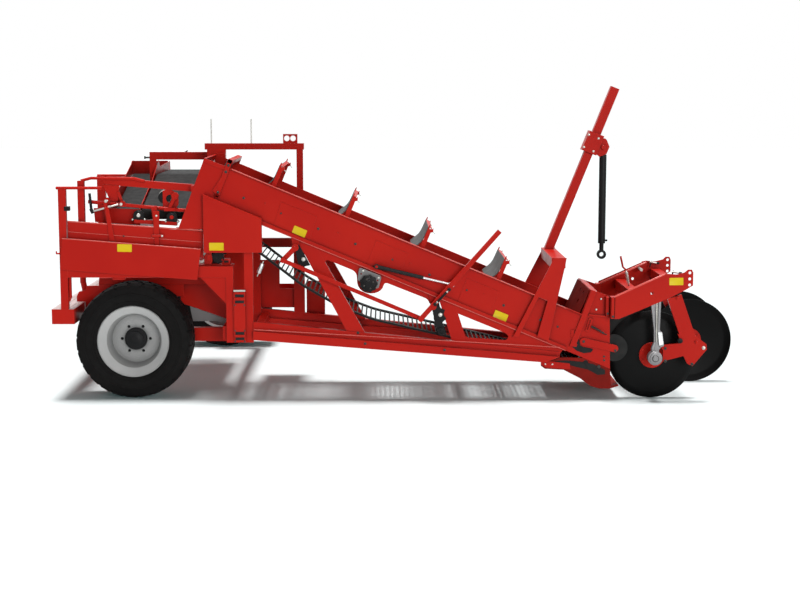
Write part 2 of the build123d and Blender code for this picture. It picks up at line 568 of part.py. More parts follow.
ARM_GAP = (ARM_NEAR + PLATE, ARM_FAR_OUT - PLATE)
DISC_ARM_T = 36.0
tray = [block(1960.0, 2050.0, *ARM_GAP, 850.0, 940.0),
        block(2280.0, 2360.0, ARM_GAP[0], ARM_GAP[1] - DISC_ARM_T, 960.0, 1040.0)]
save("hitch_cross_tubes", *tray)
pins = []
for y0, y1 in ((ARM_NEAR + PLATE, ARM_NEAR + PLATE + 130), (ARM_FAR_OUT - PLATE - 130, ARM_FAR_OUT - PLATE)):
    pins.append(pin(2180.0, 1040.0, 14.0, y0, y1))
save("hitch_pins", *pins)

# ---------------------------------------------------------------- disc arms
ARM_Y = (ARM_GAP[0], ARM_GAP[0] + DISC_ARM_T)
drop = bar((2316.0, 912.0), (2445.0, 545.0), 124.0, *ARM_Y)
quadrant = plate([(2366.0, 560.0), (2350.0, 590.0), (2510.0, 570.0), (2600.0, 500.0), (2604.0, 455.0),
                  (2485.0, 310.0), (2440.0, 330.0), (2405.0, 400.0), (2375.0, 480.0)], *ARM_Y)
hub_arm = plate([(2226.0, 352.0), (2226.0, 450.0), (2202.0, 486.0), (2380.0, 510.0), (2410.0, 400.0)],
                *ARM_Y)
save("disc_arm_near", drop + quadrant + hub_arm)

CAP_OUT = 56.0              # the hub cap stands this far out of the disc arm
stub = pin(NEAR_DISC[0], DISC_R, DISC_STUB_R, ARM_Y[0] - CAP_OUT, NEAR_DISC[1] + 40)
stub += pin(NEAR_DISC[0], DISC_R, 64.0, ARM_Y[0] - CAP_OUT, ARM_Y[0] + 8)
stub += plate([(2110.0, 880.0), (2200.0, 880.0), (2190.0, 504.0), (2226.0, 450.0), (2226.0, 352.0),
               (2100.0, 330.0), (2085.0, 430.0), (2130.0, 500.0)], *ARM_Y)
save("disc_leg_near", stub)

far_arms = []
for (disc_x, disc_y), carrier, top in ((LEAD_DISC, ARM_GAP[1] - DISC_ARM_T, (2335.0, 990.0)),
                                       (OUTER_DISC, OUTER_DISC[1] + 25, (2322.0, 1005.0))):
    arm = bar(top, (disc_x, DISC_R), 110.0, carrier, carrier + DISC_ARM_T)
    arm += pin(disc_x, DISC_R, 60.0, carrier, carrier + DISC_ARM_T)
    arm += pin(disc_x, DISC_R, DISC_STUB_R, *sorted((disc_y - 30, carrier + DISC_ARM_T)))
    far_arms.append(arm)
outer_tube = block(2300.0, 2380.0, ARM_FAR_OUT, OUTER_DISC[1] + 25 + DISC_ARM_T, 965.0, 1045.0)
far_arms[1] += outer_tube
save("disc_arm_lead", far_arms[0])
save("disc_arm_outer", far_arms[1])

# ---------------------------------------------------------------- intake floor, drum and gauge roller
BOAT = [(1243.0, 272.0), (1385.0, 262.0), (1530.0, 187.0), (1619.0, 120.0), (1700.0, 96.0),
        (1790.0, 96.0), (1868.0, 118.0), (1862.0, 132.0), (1788.0, 110.0), (1702.0, 110.0),
        (1626.0, 134.0), (1538.0, 201.0), (1391.0, 276.0), (1245.0, 287.0)]
CHEEK = [(1189.0, 322.0), (1225.0, 322.0), (1362.0, 370.0), (1560.0, floor_z(1560.0)), (1788.0, 300.0),
         (1800.0, 112.0), (1700.0, 96.0), (1619.0, 120.0), (1530.0, 187.0), (1385.0, 262.0),
         (1225.0, 271.0), (1189.0, 297.0)]
boat = plate(BOAT, IN_NEAR, IN_FAR)
for cheek_y in (IN_NEAR, IN_FAR - 8.0):
    boat += plate(CHEEK, cheek_y, cheek_y + 8)
for corner in (7, 8):
    boat -= pin(*corner_centre(WEB_PATH, corner), SHAFT_R + FIT, IN_NEAR - 1, IN_FAR + 1)
save("intake_share", boat)

GAUGE = (1823.0, 451.0)
GAUGE_R = 116.0
GAUGE_Y = (IN_NEAR + 5.0, IN_NEAR + 31.0)
GAUGE_PIN_R = 12.0
link = bar((1553.0, 513.0), GAUGE, 62.0, ELEV_NEAR - 18, ELEV_NEAR)
link += pin(1553.0, 513.0, 31.0, ELEV_NEAR - 18, ELEV_NEAR)
link += pin(*GAUGE, 31.0, ELEV_NEAR - 18, ELEV_NEAR)
link += pin(*GAUGE, GAUGE_PIN_R, ELEV_NEAR, GAUGE_Y[1] + 6)
link += pin(*GAUGE, 20.0, GAUGE_Y[1] + 1, GAUGE_Y[1] + 6)
save("gauge_arm", link)
save("gauge_roller", boss(*GAUGE, GAUGE_R, *GAUGE_Y, GAUGE_PIN_R + 0.05))

# ---------------------------------------------------------------- side control linkage
LEVER_PIVOT = (252.0, 831.0)
CRANK_PIVOT = (-925.0, 1331.0)
CRANK_ARM = (-104.0, -107.0)
LEVER_TOP = (816.0, 1477.0)
LEVER_EYE = (410.0, 1014.0)
LEVER_SQ = 40.0
LEVER_Y = (-1664.0, -1624.0)
TIE_Y = (-1618.0, -1606.0)
CRANK_Y = (-1600.0, -1588.0)
CYL_Y = -1598.0
CYL_R = 17.0
CYL_ROD_R = 10.0
CYL_BASE = (-230.0, 1169.0)
LINK_PIN = 12.0
LINK_FIT = 0.05
ROD_EYE_PLAY = 2.3          # play of the cylinder rod's eye on the lever's pin
LEVER_LOW = (LEVER_PIVOT[0] + CRANK_ARM[0], LEVER_PIVOT[1] + CRANK_ARM[1])
CRANK_LOW = (CRANK_PIVOT[0] + CRANK_ARM[0], CRANK_PIVOT[1] + CRANK_ARM[1])

lugs = []
for (px, pz), outer in ((LEVER_PIVOT, LEVER_Y[0] - 6), (CRANK_PIVOT, CRANK_Y[0] - 6)):
    tab = plate([(px - 34, floor_z(px - 34)), (px + 34, floor_z(px + 34)), (px + 20, pz - 20),
                 (px - 20, pz - 20)], ELEV_NEAR - PLATE, ELEV_NEAR)
    tab += pin(px, pz, LINK_PIN, outer, ELEV_NEAR - PLATE)
    lugs.append(tab)
lugs.append(pin(*CYL_BASE, LINK_PIN, CYL_Y - CYL_R, ELEV_NEAR))
save("linkage_lugs", *lugs)

lever = bar(LEVER_LOW, LEVER_TOP, LEVER_SQ, *LEVER_Y)
lever += pin(*LEVER_LOW, 24.0, *LEVER_Y)
lever += pin(*LEVER_PIVOT, 28.0, *LEVER_Y)
lever -= pin(*LEVER_PIVOT, LINK_PIN + LINK_FIT, LEVER_Y[0] - 1, LEVER_Y[1] + 1)
lever += pin(*LEVER_LOW, LINK_PIN, LEVER_Y[1], TIE_Y[1] + 4)
lever += pin(*LEVER_EYE, LINK_PIN, LEVER_Y[1], CYL_Y + 16)
save("control_lever", lever)

tie = bar(CRANK_LOW, LEVER_LOW, 34.0, *TIE_Y)
for end in (CRANK_LOW, LEVER_LOW):
    tie += pin(*end, 22.0, *TIE_Y)
tie -= pin(*LEVER_LOW, LINK_PIN + LINK_FIT, TIE_Y[0] - 1, TIE_Y[1] + 1)
tie += pin(*CRANK_LOW, LINK_PIN, TIE_Y[1], CRANK_Y[1] + 4)
save("control_tie_bar", tie)

crank = bar(CRANK_PIVOT, CRANK_LOW, 44.0, *CRANK_Y)
crank += pin(*CRANK_PIVOT, 30.0, *CRANK_Y)
crank += pin(*CRANK_LOW, 22.0, *CRANK_Y)
for end in (CRANK_PIVOT, CRANK_LOW):
    crank -= pin(*end, LINK_PIN + LINK_FIT, CRANK_Y[0] - 1, CRANK_Y[1] + 1)
save("control_crank", crank)

span = math.dist(CYL_BASE, LEVER_EYE)
CU = ((LEVER_EYE[0] - CYL_BASE[0]) / span, (LEVER_EYE[1] - CYL_BASE[1]) / span)


def on_cylinder(distance):
    return (CYL_BASE[0] + CU[0] * distance, CYL_Y, CYL_BASE[1] + CU[1] * distance)


CYL_BARREL_LONG = 410.0
small_barrel = rod(on_cylinder(14), on_cylinder(CYL_BARREL_LONG), CYL_R)
small_barrel += pin(*CYL_BASE, 22.0, CYL_Y - 12, CYL_Y + 12)
small_barrel -= pin(*CYL_BASE, LINK_PIN + LINK_FIT, CYL_Y - 40, CYL_Y + 40)
small_barrel -= rod(on_cylinder(60), on_cylinder(CYL_BARREL_LONG + 5), CYL_ROD_R + LINK_FIT)
save("control_barrel", small_barrel)
small_rod = rod(on_cylinder(300), on_cylinder(span - 20), CYL_ROD_R)
small_rod += boss(*LEVER_EYE, 25.0, CYL_Y - 12, CYL_Y + 12, LINK_PIN + ROD_EYE_PLAY)
save("control_rod", small_rod)


# ---------------------------------------------------------------- rear frame
POST_NEAR = IN_NEAR
POST_DEEP = 50.0
POST_IN = POST_NEAR + POST_DEEP
BACK_BEAM_Z = (2 * TYRE_R + 60, 2 * TYRE_R + 156)
BEAM_Z = (TYRE_R + 15, TYRE_R + 135)
BACK_FAR = (560.0, 620.0)
RAIL_POST = (-2942.0, -2877.0)

rear_near = block(RAIL_POST[1], -1461.0, POST_NEAR, POST_IN, *BACK_BEAM_Z)
rear_near += block(-1524.0, -1461.0, POST_NEAR, POST_IN, 505.0, BACK_BEAM_Z[0])
rear_near += plate([(-1744.0, BACK_BEAM_Z[0]), (-1524.0, BACK_BEAM_Z[0]), (-1524.0, 840.0)],
                   POST_NEAR + 10, POST_NEAR + 20)
rear_near += block(-1367.0, RAIL_REAR_X, POST_NEAR, POST_IN, 505.0, 1560.0)
rear_near += block(-1461.0, -1367.0, POST_NEAR, POST_IN, 505.0, 545.0)
slider = block(-1461.0 + FIT, -1367.0 - FIT, POST_NEAR - 22, POST_IN - 10, 545.0, 949.0)
save("rear_frame_near", rear_near, slider)

# hydraulic motors: one under the elevator's side, one on the rear beam for the cross belts
BEAM_MOTOR = (-1650.0, BACK_BEAM_Z[1] + 62)
BEAM_MOTOR_R = 46.0
beam_motor = pin(*BEAM_MOTOR, BEAM_MOTOR_R, POST_NEAR + 8, POST_NEAR + 150)
beam_motor += pin(*BEAM_MOTOR, BEAM_MOTOR_R - 24, POST_NEAR + 150, POST_NEAR + 330)
beam_motor += block(BEAM_MOTOR[0] - 50, BEAM_MOTOR[0] + 50, POST_NEAR + 8, POST_IN, BACK_BEAM_Z[1],
                    BEAM_MOTOR[1] - 20)
save("drive_motor", pin(*MOTOR, MOTOR_R, DRIVE_OUT - PLATE - 78, DRIVE_OUT - PLATE), beam_motor)

rear_far = block(-2935.0, -1461.0, *BACK_FAR, *BACK_BEAM_Z)
rear_far += block(-1540.0, -1461.0, *BACK_FAR, BEAM_Z[1], BACK_BEAM_Z[0])
ties = [block(-2877.0, -2817.0, POST_IN, BACK_FAR[0], *BACK_BEAM_Z),
        block(-1940.0, -1880.0, POST_IN, BACK_FAR[0], *BACK_BEAM_Z)]
FAR_POST_Y = (RAIL_FAR + 10, RAIL_FAR + 70)
FAR_POST_Z = 1332.0
FAR_POST_X = (-990.0, -892.0)
portal = block(-1367.0, RAIL_REAR_X, *FAR_POST_Y, BEAM_Z[1], FAR_POST_Z)
portal += block(-1367.0, FAR_POST_X[1], *FAR_POST_Y, FAR_POST_Z - 82, FAR_POST_Z)
portal += plate([(FAR_POST_X[0], rail_z(FAR_POST_X[0])), (FAR_POST_X[1], rail_z(FAR_POST_X[1])),
                 (FAR_POST_X[1], FAR_POST_Z), (FAR_POST_X[0], FAR_POST_Z)],
                RAIL_FAR + RAIL_STEP, FAR_POST_Y[1])
save("rear_frame_far", rear_far, portal, *ties)

# sheet hoppers: a chute between the wheels and a trough behind the far posts
CHUTE_Y = (-990.0, 386.0)
CHUTE_TOP = BACK_BEAM_Z[0]
CHUTE = [(-1989.0, CHUTE_TOP), (-1700.0, CHUTE_TOP), (-1577.0, CHUTE_TOP - 303),
         (-1664.0, CHUTE_TOP - 388), (-1938.0, CHUTE_TOP - 207), (-1989.0, CHUTE_TOP - 86)]
chute = plate(CHUTE, *CHUTE_Y)
chute -= plate([(-1989.0 + SHEET, CHUTE_TOP + 1), (-1500.0, CHUTE_TOP + 1), (-1570.0, CHUTE_TOP - 303),
                (-1664.0, CHUTE_TOP - 388 + 1.2 * SHEET), (-1938.0 + SHEET, CHUTE_TOP - 207 + SHEET),
                (-1989.0 + SHEET, CHUTE_TOP - 86)],
               CHUTE_Y[0] + SHEET, CHUTE_Y[1] - SHEET)
TROUGH_Y = (FAR_POST_Y[1], FAR_POST_Y[1] + 367)
TROUGH_Z = (690.0, 866.0)
TROUGH_X = (-1340.0, -920.0)
trough = block(*TROUGH_X, *TROUGH_Y, *TROUGH_Z)
trough -= block(TROUGH_X[0] + SHEET, TROUGH_X[1] - SHEET, TROUGH_Y[0] + SHEET, TROUGH_Y[1] - SHEET,
                TROUGH_Z[0] + SHEET, TROUGH_Z[1] + 1)
trough += block(TROUGH_X[0], -1122.0, TROUGH_Y[0], TROUGH_Y[0] + SHEET, TROUGH_Z[1], 1129.0)
screen_y = RAIL_FAR + RAIL_DEEP
screen = block(-878.0, -711.0, screen_y, screen_y + SHEET, 600.0, 935.0)
for flange_x in (-878.0, -711.0 - SHEET):
    screen += block(flange_x, flange_x + SHEET, screen_y + SHEET, screen_y + 90, 600.0, 935.0)
save("sheet_hoppers", chute, trough, screen)

# axle: cross beam with a trailing arm and spindle for each wheel
BEAM_X = (-1560.0, -1440.0)
ARM_Z = (TYRE_R - 60, TYRE_R + 60)
NEAR_ARM_Y = (-1080.0, -1000.0)
FAR_ARM_Y = (1180.0, 1260.0)
axle = block(*BEAM_X, POST_IN, FAR_ARM_Y[1], *BEAM_Z)
axle += block(NEAR_WHEEL[0] - 70, BEAM_X[0] + 20, *NEAR_ARM_Y, *ARM_Z)
axle += block(FAR_WHEEL[0] - 70, BEAM_X[0] + 20, *FAR_ARM_Y, *ARM_Z)
axle += pin(NEAR_WHEEL[0], TYRE_R, AXLE_R, WHEEL_FACE["near"] - 22, NEAR_ARM_Y[0])
axle += pin(FAR_WHEEL[0], TYRE_R, AXLE_R, FAR_ARM_Y[1], WHEEL_FACE["far"] + 22)
axle += block(-1461.0, RAIL_REAR_X, *FAR_POST_Y, BEAM_Z[1] - 95, BEAM_Z[1])
save("axle_beam", axle)

# ---------------------------------------------------------------- picking table
PANEL_Y = (-1566.0, -1560.0)
SIDE_Y = (-1520.0, -1514.0)
panel = plate([(-2913.0, 1411.0), (-1731.0, 1318.0), (-1767.0, 1051.0), (-2936.0, 1141.0)], *PANEL_Y)
panel += plate([(-2870.0, 1407.6), (-1731.0, 1318.0), (-1731.0, 1312.0), (-2870.0, 1401.6)],
               PANEL_Y[1], SIDE_Y[0])
save("picking_panel", panel)
side_sheet = plate([(-2871.0, 1556.0), (-1713.0, 1462.0), (-1719.0, 1240.0), (-2871.0, 1300.0)], *SIDE_Y)
side_sheet += block(-2700.0, -2640.0, SIDE_Y[1], POST_IN, BACK_BEAM_Z[1], 1290.0)
side_sheet += block(-2000.0, -1940.0, SIDE_Y[1], POST_IN, BACK_BEAM_Z[1], 1290.0)
save("picking_side", side_sheet)

# tube, pipe, struts and bearing beam above the table
TABLE_Y = -1420.0
FRAME_TUBE = 60.0
table = bar((-2565.0, 1892.0), (-1760.0, 1827.0), FRAME_TUBE, TABLE_Y - 30, TABLE_Y + 30)
table += plate([(-2573.0, 1862.0), (-2432.0, 1851.0), (-2445.0, 1725.0), (-2505.0, 1700.0)],
               TABLE_Y - 34, TABLE_Y - 24)
table += rod((-2699.0, TABLE_Y - 43, 1716.0), (-1856.0, TABLE_Y - 43, 1639.0), 16.0)
table += bar((-2548.0, 1720.0), (-2497.0, 1320.0), 30.0, SIDE_Y[1], TABLE_Y - 24)
table += bar((-2306.0, 1549.0), (-1942.0, 1526.0), 31.0, TABLE_Y - 70, TABLE_Y - 10)
table += bar((-2132.0, 1677.0), (-2094.0, 1300.0), 46.0, SIDE_Y[1], TABLE_Y - 66)
table += block(-1810.0, -1762.0, IN_NEAR, TABLE_Y - 30, 1805.0, 1855.0)
ring = plate([(-2064.0, 1660.0), (-2064.0, 1808.0), (-2040.0, 1819.0), (-1990.0, 1815.0), (-1930.0, 1780.0),
              (-1930.0, 1690.0), (-1950.0, 1660.0)], TABLE_Y - 26, TABLE_Y - 14)
ring -= pin(-2003.0, 1740.0, 34.0, TABLE_Y - 30, TABLE_Y)
ring += pin(-1956.0, 1765.0, 31.0, TABLE_Y - 62, TABLE_Y - 26)
ring += bar((-1956.0, 1765.0), (-2003.0, 1662.0), 28.0, TABLE_Y - 62, TABLE_Y - 48)
ring += block(-2050.0, -1956.0, TABLE_Y - 70, TABLE_Y - 14, 1636.0, 1664.0)
table += ring
for bush_x, bush_z in ((-2536.0, 1725.0), (-2407.0, 1698.0)):
    table += boss(bush_x, bush_z, 26.0, TABLE_Y - 62, TABLE_Y - 24, 9.0)
table += bar((-2443.0, 1800.0), (-2407.0, 1698.0), 24.0, TABLE_Y - 44, TABLE_Y - 30)
save("picking_frame", table)

bearings = []
for bx, bz in ((-2245.0, 1609.0), (-1978.0, 1586.0)):
    base = 1549.0 - (bx + 2306.0) / 364.0 * 23.0 + 15.5
    body = pin(bx, bz, 38.0, TABLE_Y - 66, TABLE_Y - 30)
    body += block(bx - 45, bx + 45, TABLE_Y - 66, TABLE_Y - 30, base + 3, base + 18)
    bearings.append(body)
save("table_bearings", *bearings)

TABLE_DRUM = (-2052.0, 1750.0)
save("table_drum", pin(*TABLE_DRUM, 53.0, TABLE_Y - 14, TABLE_Y + 6) + pin(*TABLE_DRUM, 46.0, TABLE_Y + 6,
                                                                           TABLE_Y + 66))


# two cross belts that climb from the table and run level to the far side
def belt(x0, x1, points, thick):
    corners = [(x0, y, z) for y, z, _ in points]
    path = FilletPolyline(*corners, radius=[r for _, _, r in points], close=True)
    inner = make_face(path)
    outer = make_face(offset(path, amount=thick, kind=Kind.ARC))
    ring = outer - inner if outer.area > inner.area else inner - outer
    return extrude(ring, amount=x1 - x0, dir=(1, 0, 0))


BELT_T = 10.0
BEAM_TOP = BACK_BEAM_Z[1]
CROSS_BELTS = (             # x from and to, then y, height over the rear beam and bend radius inside
    (-2600.0, -2290.0, ((-1340.0, 150.0, 38.0), (-1340.0, 234.0, 38.0), (400.0, 700.0, 44.0),
                        (400.0, 596.0, 44.0))),
    (-2255.0, -1760.0, ((-1340.0, 384.0, 42.0), (-1340.0, 477.0, 42.0), (-420.0, 724.0, 220.0),
                        (490.0, 724.0, 55.0), (490.0, 608.0, 55.0), (-390.0, 608.0, 200.0))))
BELT_RUNS = [[(y, BEAM_TOP + rise, radius) for y, rise, radius in run] for _, _, run in CROSS_BELTS]
save("cross_belts", *[belt(row[0], row[1], run, BELT_T) for row, run in zip(CROSS_BELTS, BELT_RUNS)])

CONVEYOR_BEAM_Z = (BEAM_TOP + 64, BEAM_TOP + 124)
FAR_BEAM_Z = (BEAM_TOP + 474, BEAM_TOP + 534)
SHEET_FOOT = [(-1380.0, CONVEYOR_BEAM_Z[1]), (-1180.0, CONVEYOR_BEAM_Z[1]), (380.0, FAR_BEAM_Z[0]),
              (BACK_FAR[1], FAR_BEAM_Z[0]), (BACK_FAR[1], FAR_BEAM_Z[1] + 20)]
CROSS_SHEETS = (            # x, then the top edge's (y, height over the rear beam), far end first
    (-2622.0, ((480.0, 634.0), (480.0, 819.0), (400.0, 819.0), (348.0, 791.0), (-475.0, 571.0),
               (-1380.0, 328.0))),
    (-2276.0, ((571.0, 732.0), (547.0, 811.0), (-138.0, 789.0), (-226.0, 853.0), (-625.0, 689.0),
               (-1380.0, 484.0))),
    (-1746.0, ((571.0, 732.0), (547.0, 811.0), (-200.0, 861.0), (-330.0, 861.0), (-625.0, 689.0),
               (-1380.0, 484.0))))


def cross_sheet(x, top_edge):
    top = [(y, BEAM_TOP + rise) for y, rise in top_edge]
    wire = Polyline(*[(x, y, z) for y, z in (*SHEET_FOOT, *top)], close=True)
    return extrude(make_face(wire), amount=SHEET, dir=(1, 0, 0))


SHEET_X = [row[0] for row in CROSS_SHEETS]
GANTRY_Y = (-330.0, -270.0)
sheets = cross_sheet(*CROSS_SHEETS[0]) + cross_sheet(*CROSS_SHEETS[1]) + cross_sheet(*CROSS_SHEETS[2])
GANTRY_Z = (BEAM_TOP + 861, BEAM_TOP + 931)
sheets += block(-2339.0, SHEET_X[2] + SHEET, *GANTRY_Y, *GANTRY_Z)
sheets += block(-2339.0, SHEET_X[1], GANTRY_Y[0], GANTRY_Y[0] + SHEET, GANTRY_Z[0] - 199, GANTRY_Z[0])
sheets += block(SHEET_X[0] + SHEET, SHEET_X[1], 430.0, 430.0 + SHEET, BEAM_TOP + 684, BEAM_TOP + 819)
sheets += plate([(-2669.0, 1656.0), (-2270.0, 1646.0), (-2270.0, 1509.0), (-2660.0, 1535.0)],
                -1386.0, -1380.0)
sheets += block(-2877.0, SHEET_X[2] + SHEET, -1300.0, -1240.0, *CONVEYOR_BEAM_Z)
sheets += block(-2877.0, SHEET_X[2] + SHEET, *BACK_FAR, *FAR_BEAM_Z)
for post_x in (-2877.0, -1940.0):
    sheets += block(post_x, post_x + 60, -1300.0, -1240.0, BACK_BEAM_Z[1], CONVEYOR_BEAM_Z[0])
    sheets += block(post_x, post_x + 60, *BACK_FAR, BACK_BEAM_Z[1], FAR_BEAM_Z[0])
save("cross_conveyor_sides", sheets)

belt_rollers = []
for (x0, x1, _), run, left, right in zip(CROSS_BELTS, BELT_RUNS, SHEET_X, SHEET_X[1:]):
    for corner in (1, len(run) // 2):
        ry, rz = corner_centre(run, corner)
        roller = Pos((x0 + x1) / 2, ry, rz) * Rot(0, 90, 0) * Cylinder(run[corner][2] - FIT, x1 - x0)
        roller += Pos((left + SHEET + right) / 2, ry, rz) * Rot(0, 90, 0) * Cylinder(
            16.0, right - left - SHEET)
        belt_rollers.append(roller)
save("belt_rollers", *belt_rollers)

# ---------------------------------------------------------------- platform at the rear
DECK_Z = (667.0, 795.0)
DECK_DEEP = 193.0
DECK_CLEAR = 11.7           # between the deck's front edge and the near tyre
DECK_FRONT = NEAR_WHEEL[0] - math.sqrt(TYRE_R ** 2 - (DECK_Z[0] - TYRE_R) ** 2) - DECK_CLEAR
DECK_X = (DECK_FRONT - DECK_DEEP, DECK_FRONT)
DECK_Y = (-1541.0, BACK_FAR[1])
deck = block(*DECK_X, *DECK_Y, *DECK_Z)
save("platform_deck", deck)

RAILING_Z = 1836.0
RAILING_R = 13.0
rails = []
near_post = block(*RAIL_POST, POST_NEAR, POST_IN, DECK_Z[1], RAILING_Z)
near_post += rod((-2962.0, POST_NEAR + 25, RAILING_Z), (-2571.0, POST_NEAR + 25, RAILING_Z), RAILING_R)
rails.append(near_post)
hand_y = POST_IN + 27.5
hand = block(-2785.0, -2730.0, POST_IN, POST_IN + 55, BACK_BEAM_Z[0], 1895.0)
HAND_RAIL = ((-2757.0, 1895.0), (-2671.0, 1917.0), (-2305.0, 1914.0), (-2215.0, 1890.0))
for start, end in zip(HAND_RAIL, HAND_RAIL[1:]):
    hand += rod((start[0], hand_y, start[1]), (end[0], hand_y, end[1]), RAILING_R)
rails.append(hand)
far_rail = block(-2985.0, -2905.0, BACK_FAR[0] - 60, BACK_FAR[0], DECK_Z[1], RAILING_Z)
far_rail += rod((-2985.0, BACK_FAR[0] - 30, RAILING_Z), (-2700.0, BACK_FAR[0] - 30, RAILING_Z), RAILING_R)
rails.append(far_rail)
save("platform_railing", *rails)

# ---------------------------------------------------------------- roof frame, lamp plate and marker rods
ROOF_Y = (ELEV_FAR + LIP + 3, ELEV_FAR + LIP + 63)
roof = block(-1789.0, -893.0, *ROOF_Y, 2131.0, 2187.0)
roof += block(-960.0, -902.0, *ROOF_Y, 1480.0, 2131.0)
roof += block(-960.0, -902.0, ELEV_FAR, ROOF_Y[0], 1500.0, 1620.0)
roof += block(-1769.0, -1600.0, *ROOF_Y, 2040.0, 2131.0)
roof += block(-1680.0, -1600.0, ELEV_FAR, ROOF_Y[0], 1980.0, 2100.0)
lamp = plate([(-1080.0, 2187.0), (-950.0, 2187.0), (-950.0, 2271.0), (-1080.0, 2271.0)],
             ROOF_Y[0] + 10, ROOF_Y[0] + 16)
for hole_x in (-1046.0, -990.0):
    lamp -= pin(hole_x, 2232.0, 25.0, ROOF_Y[0], ROOF_Y[0] + 30)
save("roof_frame", roof + lamp)
marker = [Pos(x, ROOF_Y[0] + 20, (2187.0 + 2406.0) / 2) * Cylinder(6.0, 2406.0 - 2187.0)
          for x in (-1729.0, -1368.0)]
save("marker_rods", *marker)
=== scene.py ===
import math

import bmesh
import bpy
from mathutils import Matrix, Vector


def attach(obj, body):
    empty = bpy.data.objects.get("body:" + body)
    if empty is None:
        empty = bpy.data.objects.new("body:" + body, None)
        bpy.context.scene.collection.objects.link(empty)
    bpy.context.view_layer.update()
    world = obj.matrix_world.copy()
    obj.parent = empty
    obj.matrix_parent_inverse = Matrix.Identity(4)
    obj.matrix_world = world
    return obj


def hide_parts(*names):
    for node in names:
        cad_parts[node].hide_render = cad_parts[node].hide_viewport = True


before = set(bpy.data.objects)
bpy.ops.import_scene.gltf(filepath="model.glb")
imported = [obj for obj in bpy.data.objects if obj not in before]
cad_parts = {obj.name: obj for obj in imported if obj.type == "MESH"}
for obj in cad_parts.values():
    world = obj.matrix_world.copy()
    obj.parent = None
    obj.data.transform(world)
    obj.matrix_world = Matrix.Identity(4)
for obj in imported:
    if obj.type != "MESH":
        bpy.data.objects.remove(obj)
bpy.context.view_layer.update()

# ------------------------------------------------------------ frame, arms and sheets in red enamel
# The welded frame, the folded sheets and the arms are shot-blasted steel under a bright red
# two-coat enamel. The coat is paler where it runs over a cut edge, part wear and part painted highlight, and
# painted shade darkens the corners.
RED = (0.50, 0.014, 0.007)
RED_DEEP = (0.44, 0.010, 0.006)
# painted shade for corners and for faces under lips
RED_CORNER_SHADE = (0.10, 0.006, 0.005)
# paler edge colour: part wear of the coat, part painted highlight
RED_EDGE_WEAR_AND_HIGHLIGHT = (0.60, 0.050, 0.034)
RED_NODES = [
    "axle_beam", "control_crank", "control_lever", "control_tie_bar", "cross_conveyor_sides",
    "disc_arm_lead", "disc_arm_near", "disc_arm_outer", "elevator_cross_beams", "elevator_legs",
    "elevator_side_far", "elevator_side_near", "flap_frames", "gauge_arm", "head_cover", "head_guard",
    "hitch_arm_far", "hitch_arm_near", "hitch_cross_tubes", "intake_frame", "linkage_lugs",
    "main_rail_far", "main_rail_near", "mast", "mast_bridge", "mast_clamp", "picking_frame",
    "picking_panel", "picking_side", "platform_deck", "platform_railing", "rail_cross_members",
    "rear_frame_far", "rear_frame_near", "roof_frame", "sheet_hoppers",
]


def feed(tree, node, feeds):
    """Sets a node's inputs, each to a plain value or linked to another node's output."""
    for socket, value in feeds.items():
        if isinstance(value, bpy.types.NodeSocket):
            tree.links.new(value, node.inputs[socket])
        else:
            node.inputs[socket].default_value = value


def add_node(tree, kind, feeds, **settings):
    """Adds a node with its settings and inputs."""
    node = tree.nodes.new("ShaderNode" + kind)
    for name, value in settings.items():
        setattr(node, name, value)
    feed(tree, node, feeds)
    return node


def new_finish(name):
    """An empty material with its tree, its shader and a place to read object coordinates."""
    finish = bpy.data.materials.new(name)
    finish.use_nodes = True
    tree = finish.node_tree
    return finish, tree, tree.nodes["Principled BSDF"], add_node(tree, "TexCoord", {}).outputs["Object"]


def noise_from(tree, place, scale, detail=3.0):
    """Noise on the piece's own coordinates."""
    return add_node(tree, "TexNoise", {"Scale": scale, "Detail": detail, "Vector": place}).outputs["Fac"]


def spread(tree, factor, low=0.0, high=1.0, from_low=0.3, from_high=0.7):
    """Maps a factor to a range of plain values."""
    return add_node(tree, "MapRange", {"From Min": from_low, "From Max": from_high, "To Min": low,
                                       "To Max": high, "Value": factor}).outputs["Result"]


def blend_colours(tree, factor, *colours):
    """Mixes two colours, each three plain values or a socket."""
    mix = add_node(tree, "Mix", {"Factor": factor}, data_type="RGBA")
    for socket, colour in zip([s for s in mix.inputs if s.type == "RGBA"], colours):
        if isinstance(colour, tuple):
            socket.default_value = (*colour, 1.0)
        else:
            tree.links.new(colour, socket)
    return [s for s in mix.outputs if s.type == "RGBA"][0]


def round_edges(tree, radius, grain, depth):
    """Rounds the shading of sharp edges under a fine grain. Gives that normal, and how near an edge is."""
    bevel = add_node(tree, "Bevel", {"Radius": radius}, samples=4).outputs["Normal"]
    flat = add_node(tree, "NewGeometry", {}).outputs["Normal"]
    turn = add_node(tree, "VectorMath", {0: bevel, 1: flat}, operation="DOT_PRODUCT").outputs["Value"]
    bump = add_node(tree, "Bump", {"Strength": 0.35, "Distance": depth, "Height": grain, "Normal": bevel})
    return bump.outputs["Normal"], spread(tree, turn, 1.0, 0.0, 0.80, 0.985)


def painted_corner_shade(tree, colour, dark, reach, deep, open_from):
    """Paints shade: darkens a colour towards a dark one where other surfaces stand within reach."""
    corner = add_node(tree, "AmbientOcclusion", {"Distance": reach}, samples=5).outputs["AO"]
    return blend_colours(tree, spread(tree, corner, 0.0, 1.0, deep, open_from), dark, colour)


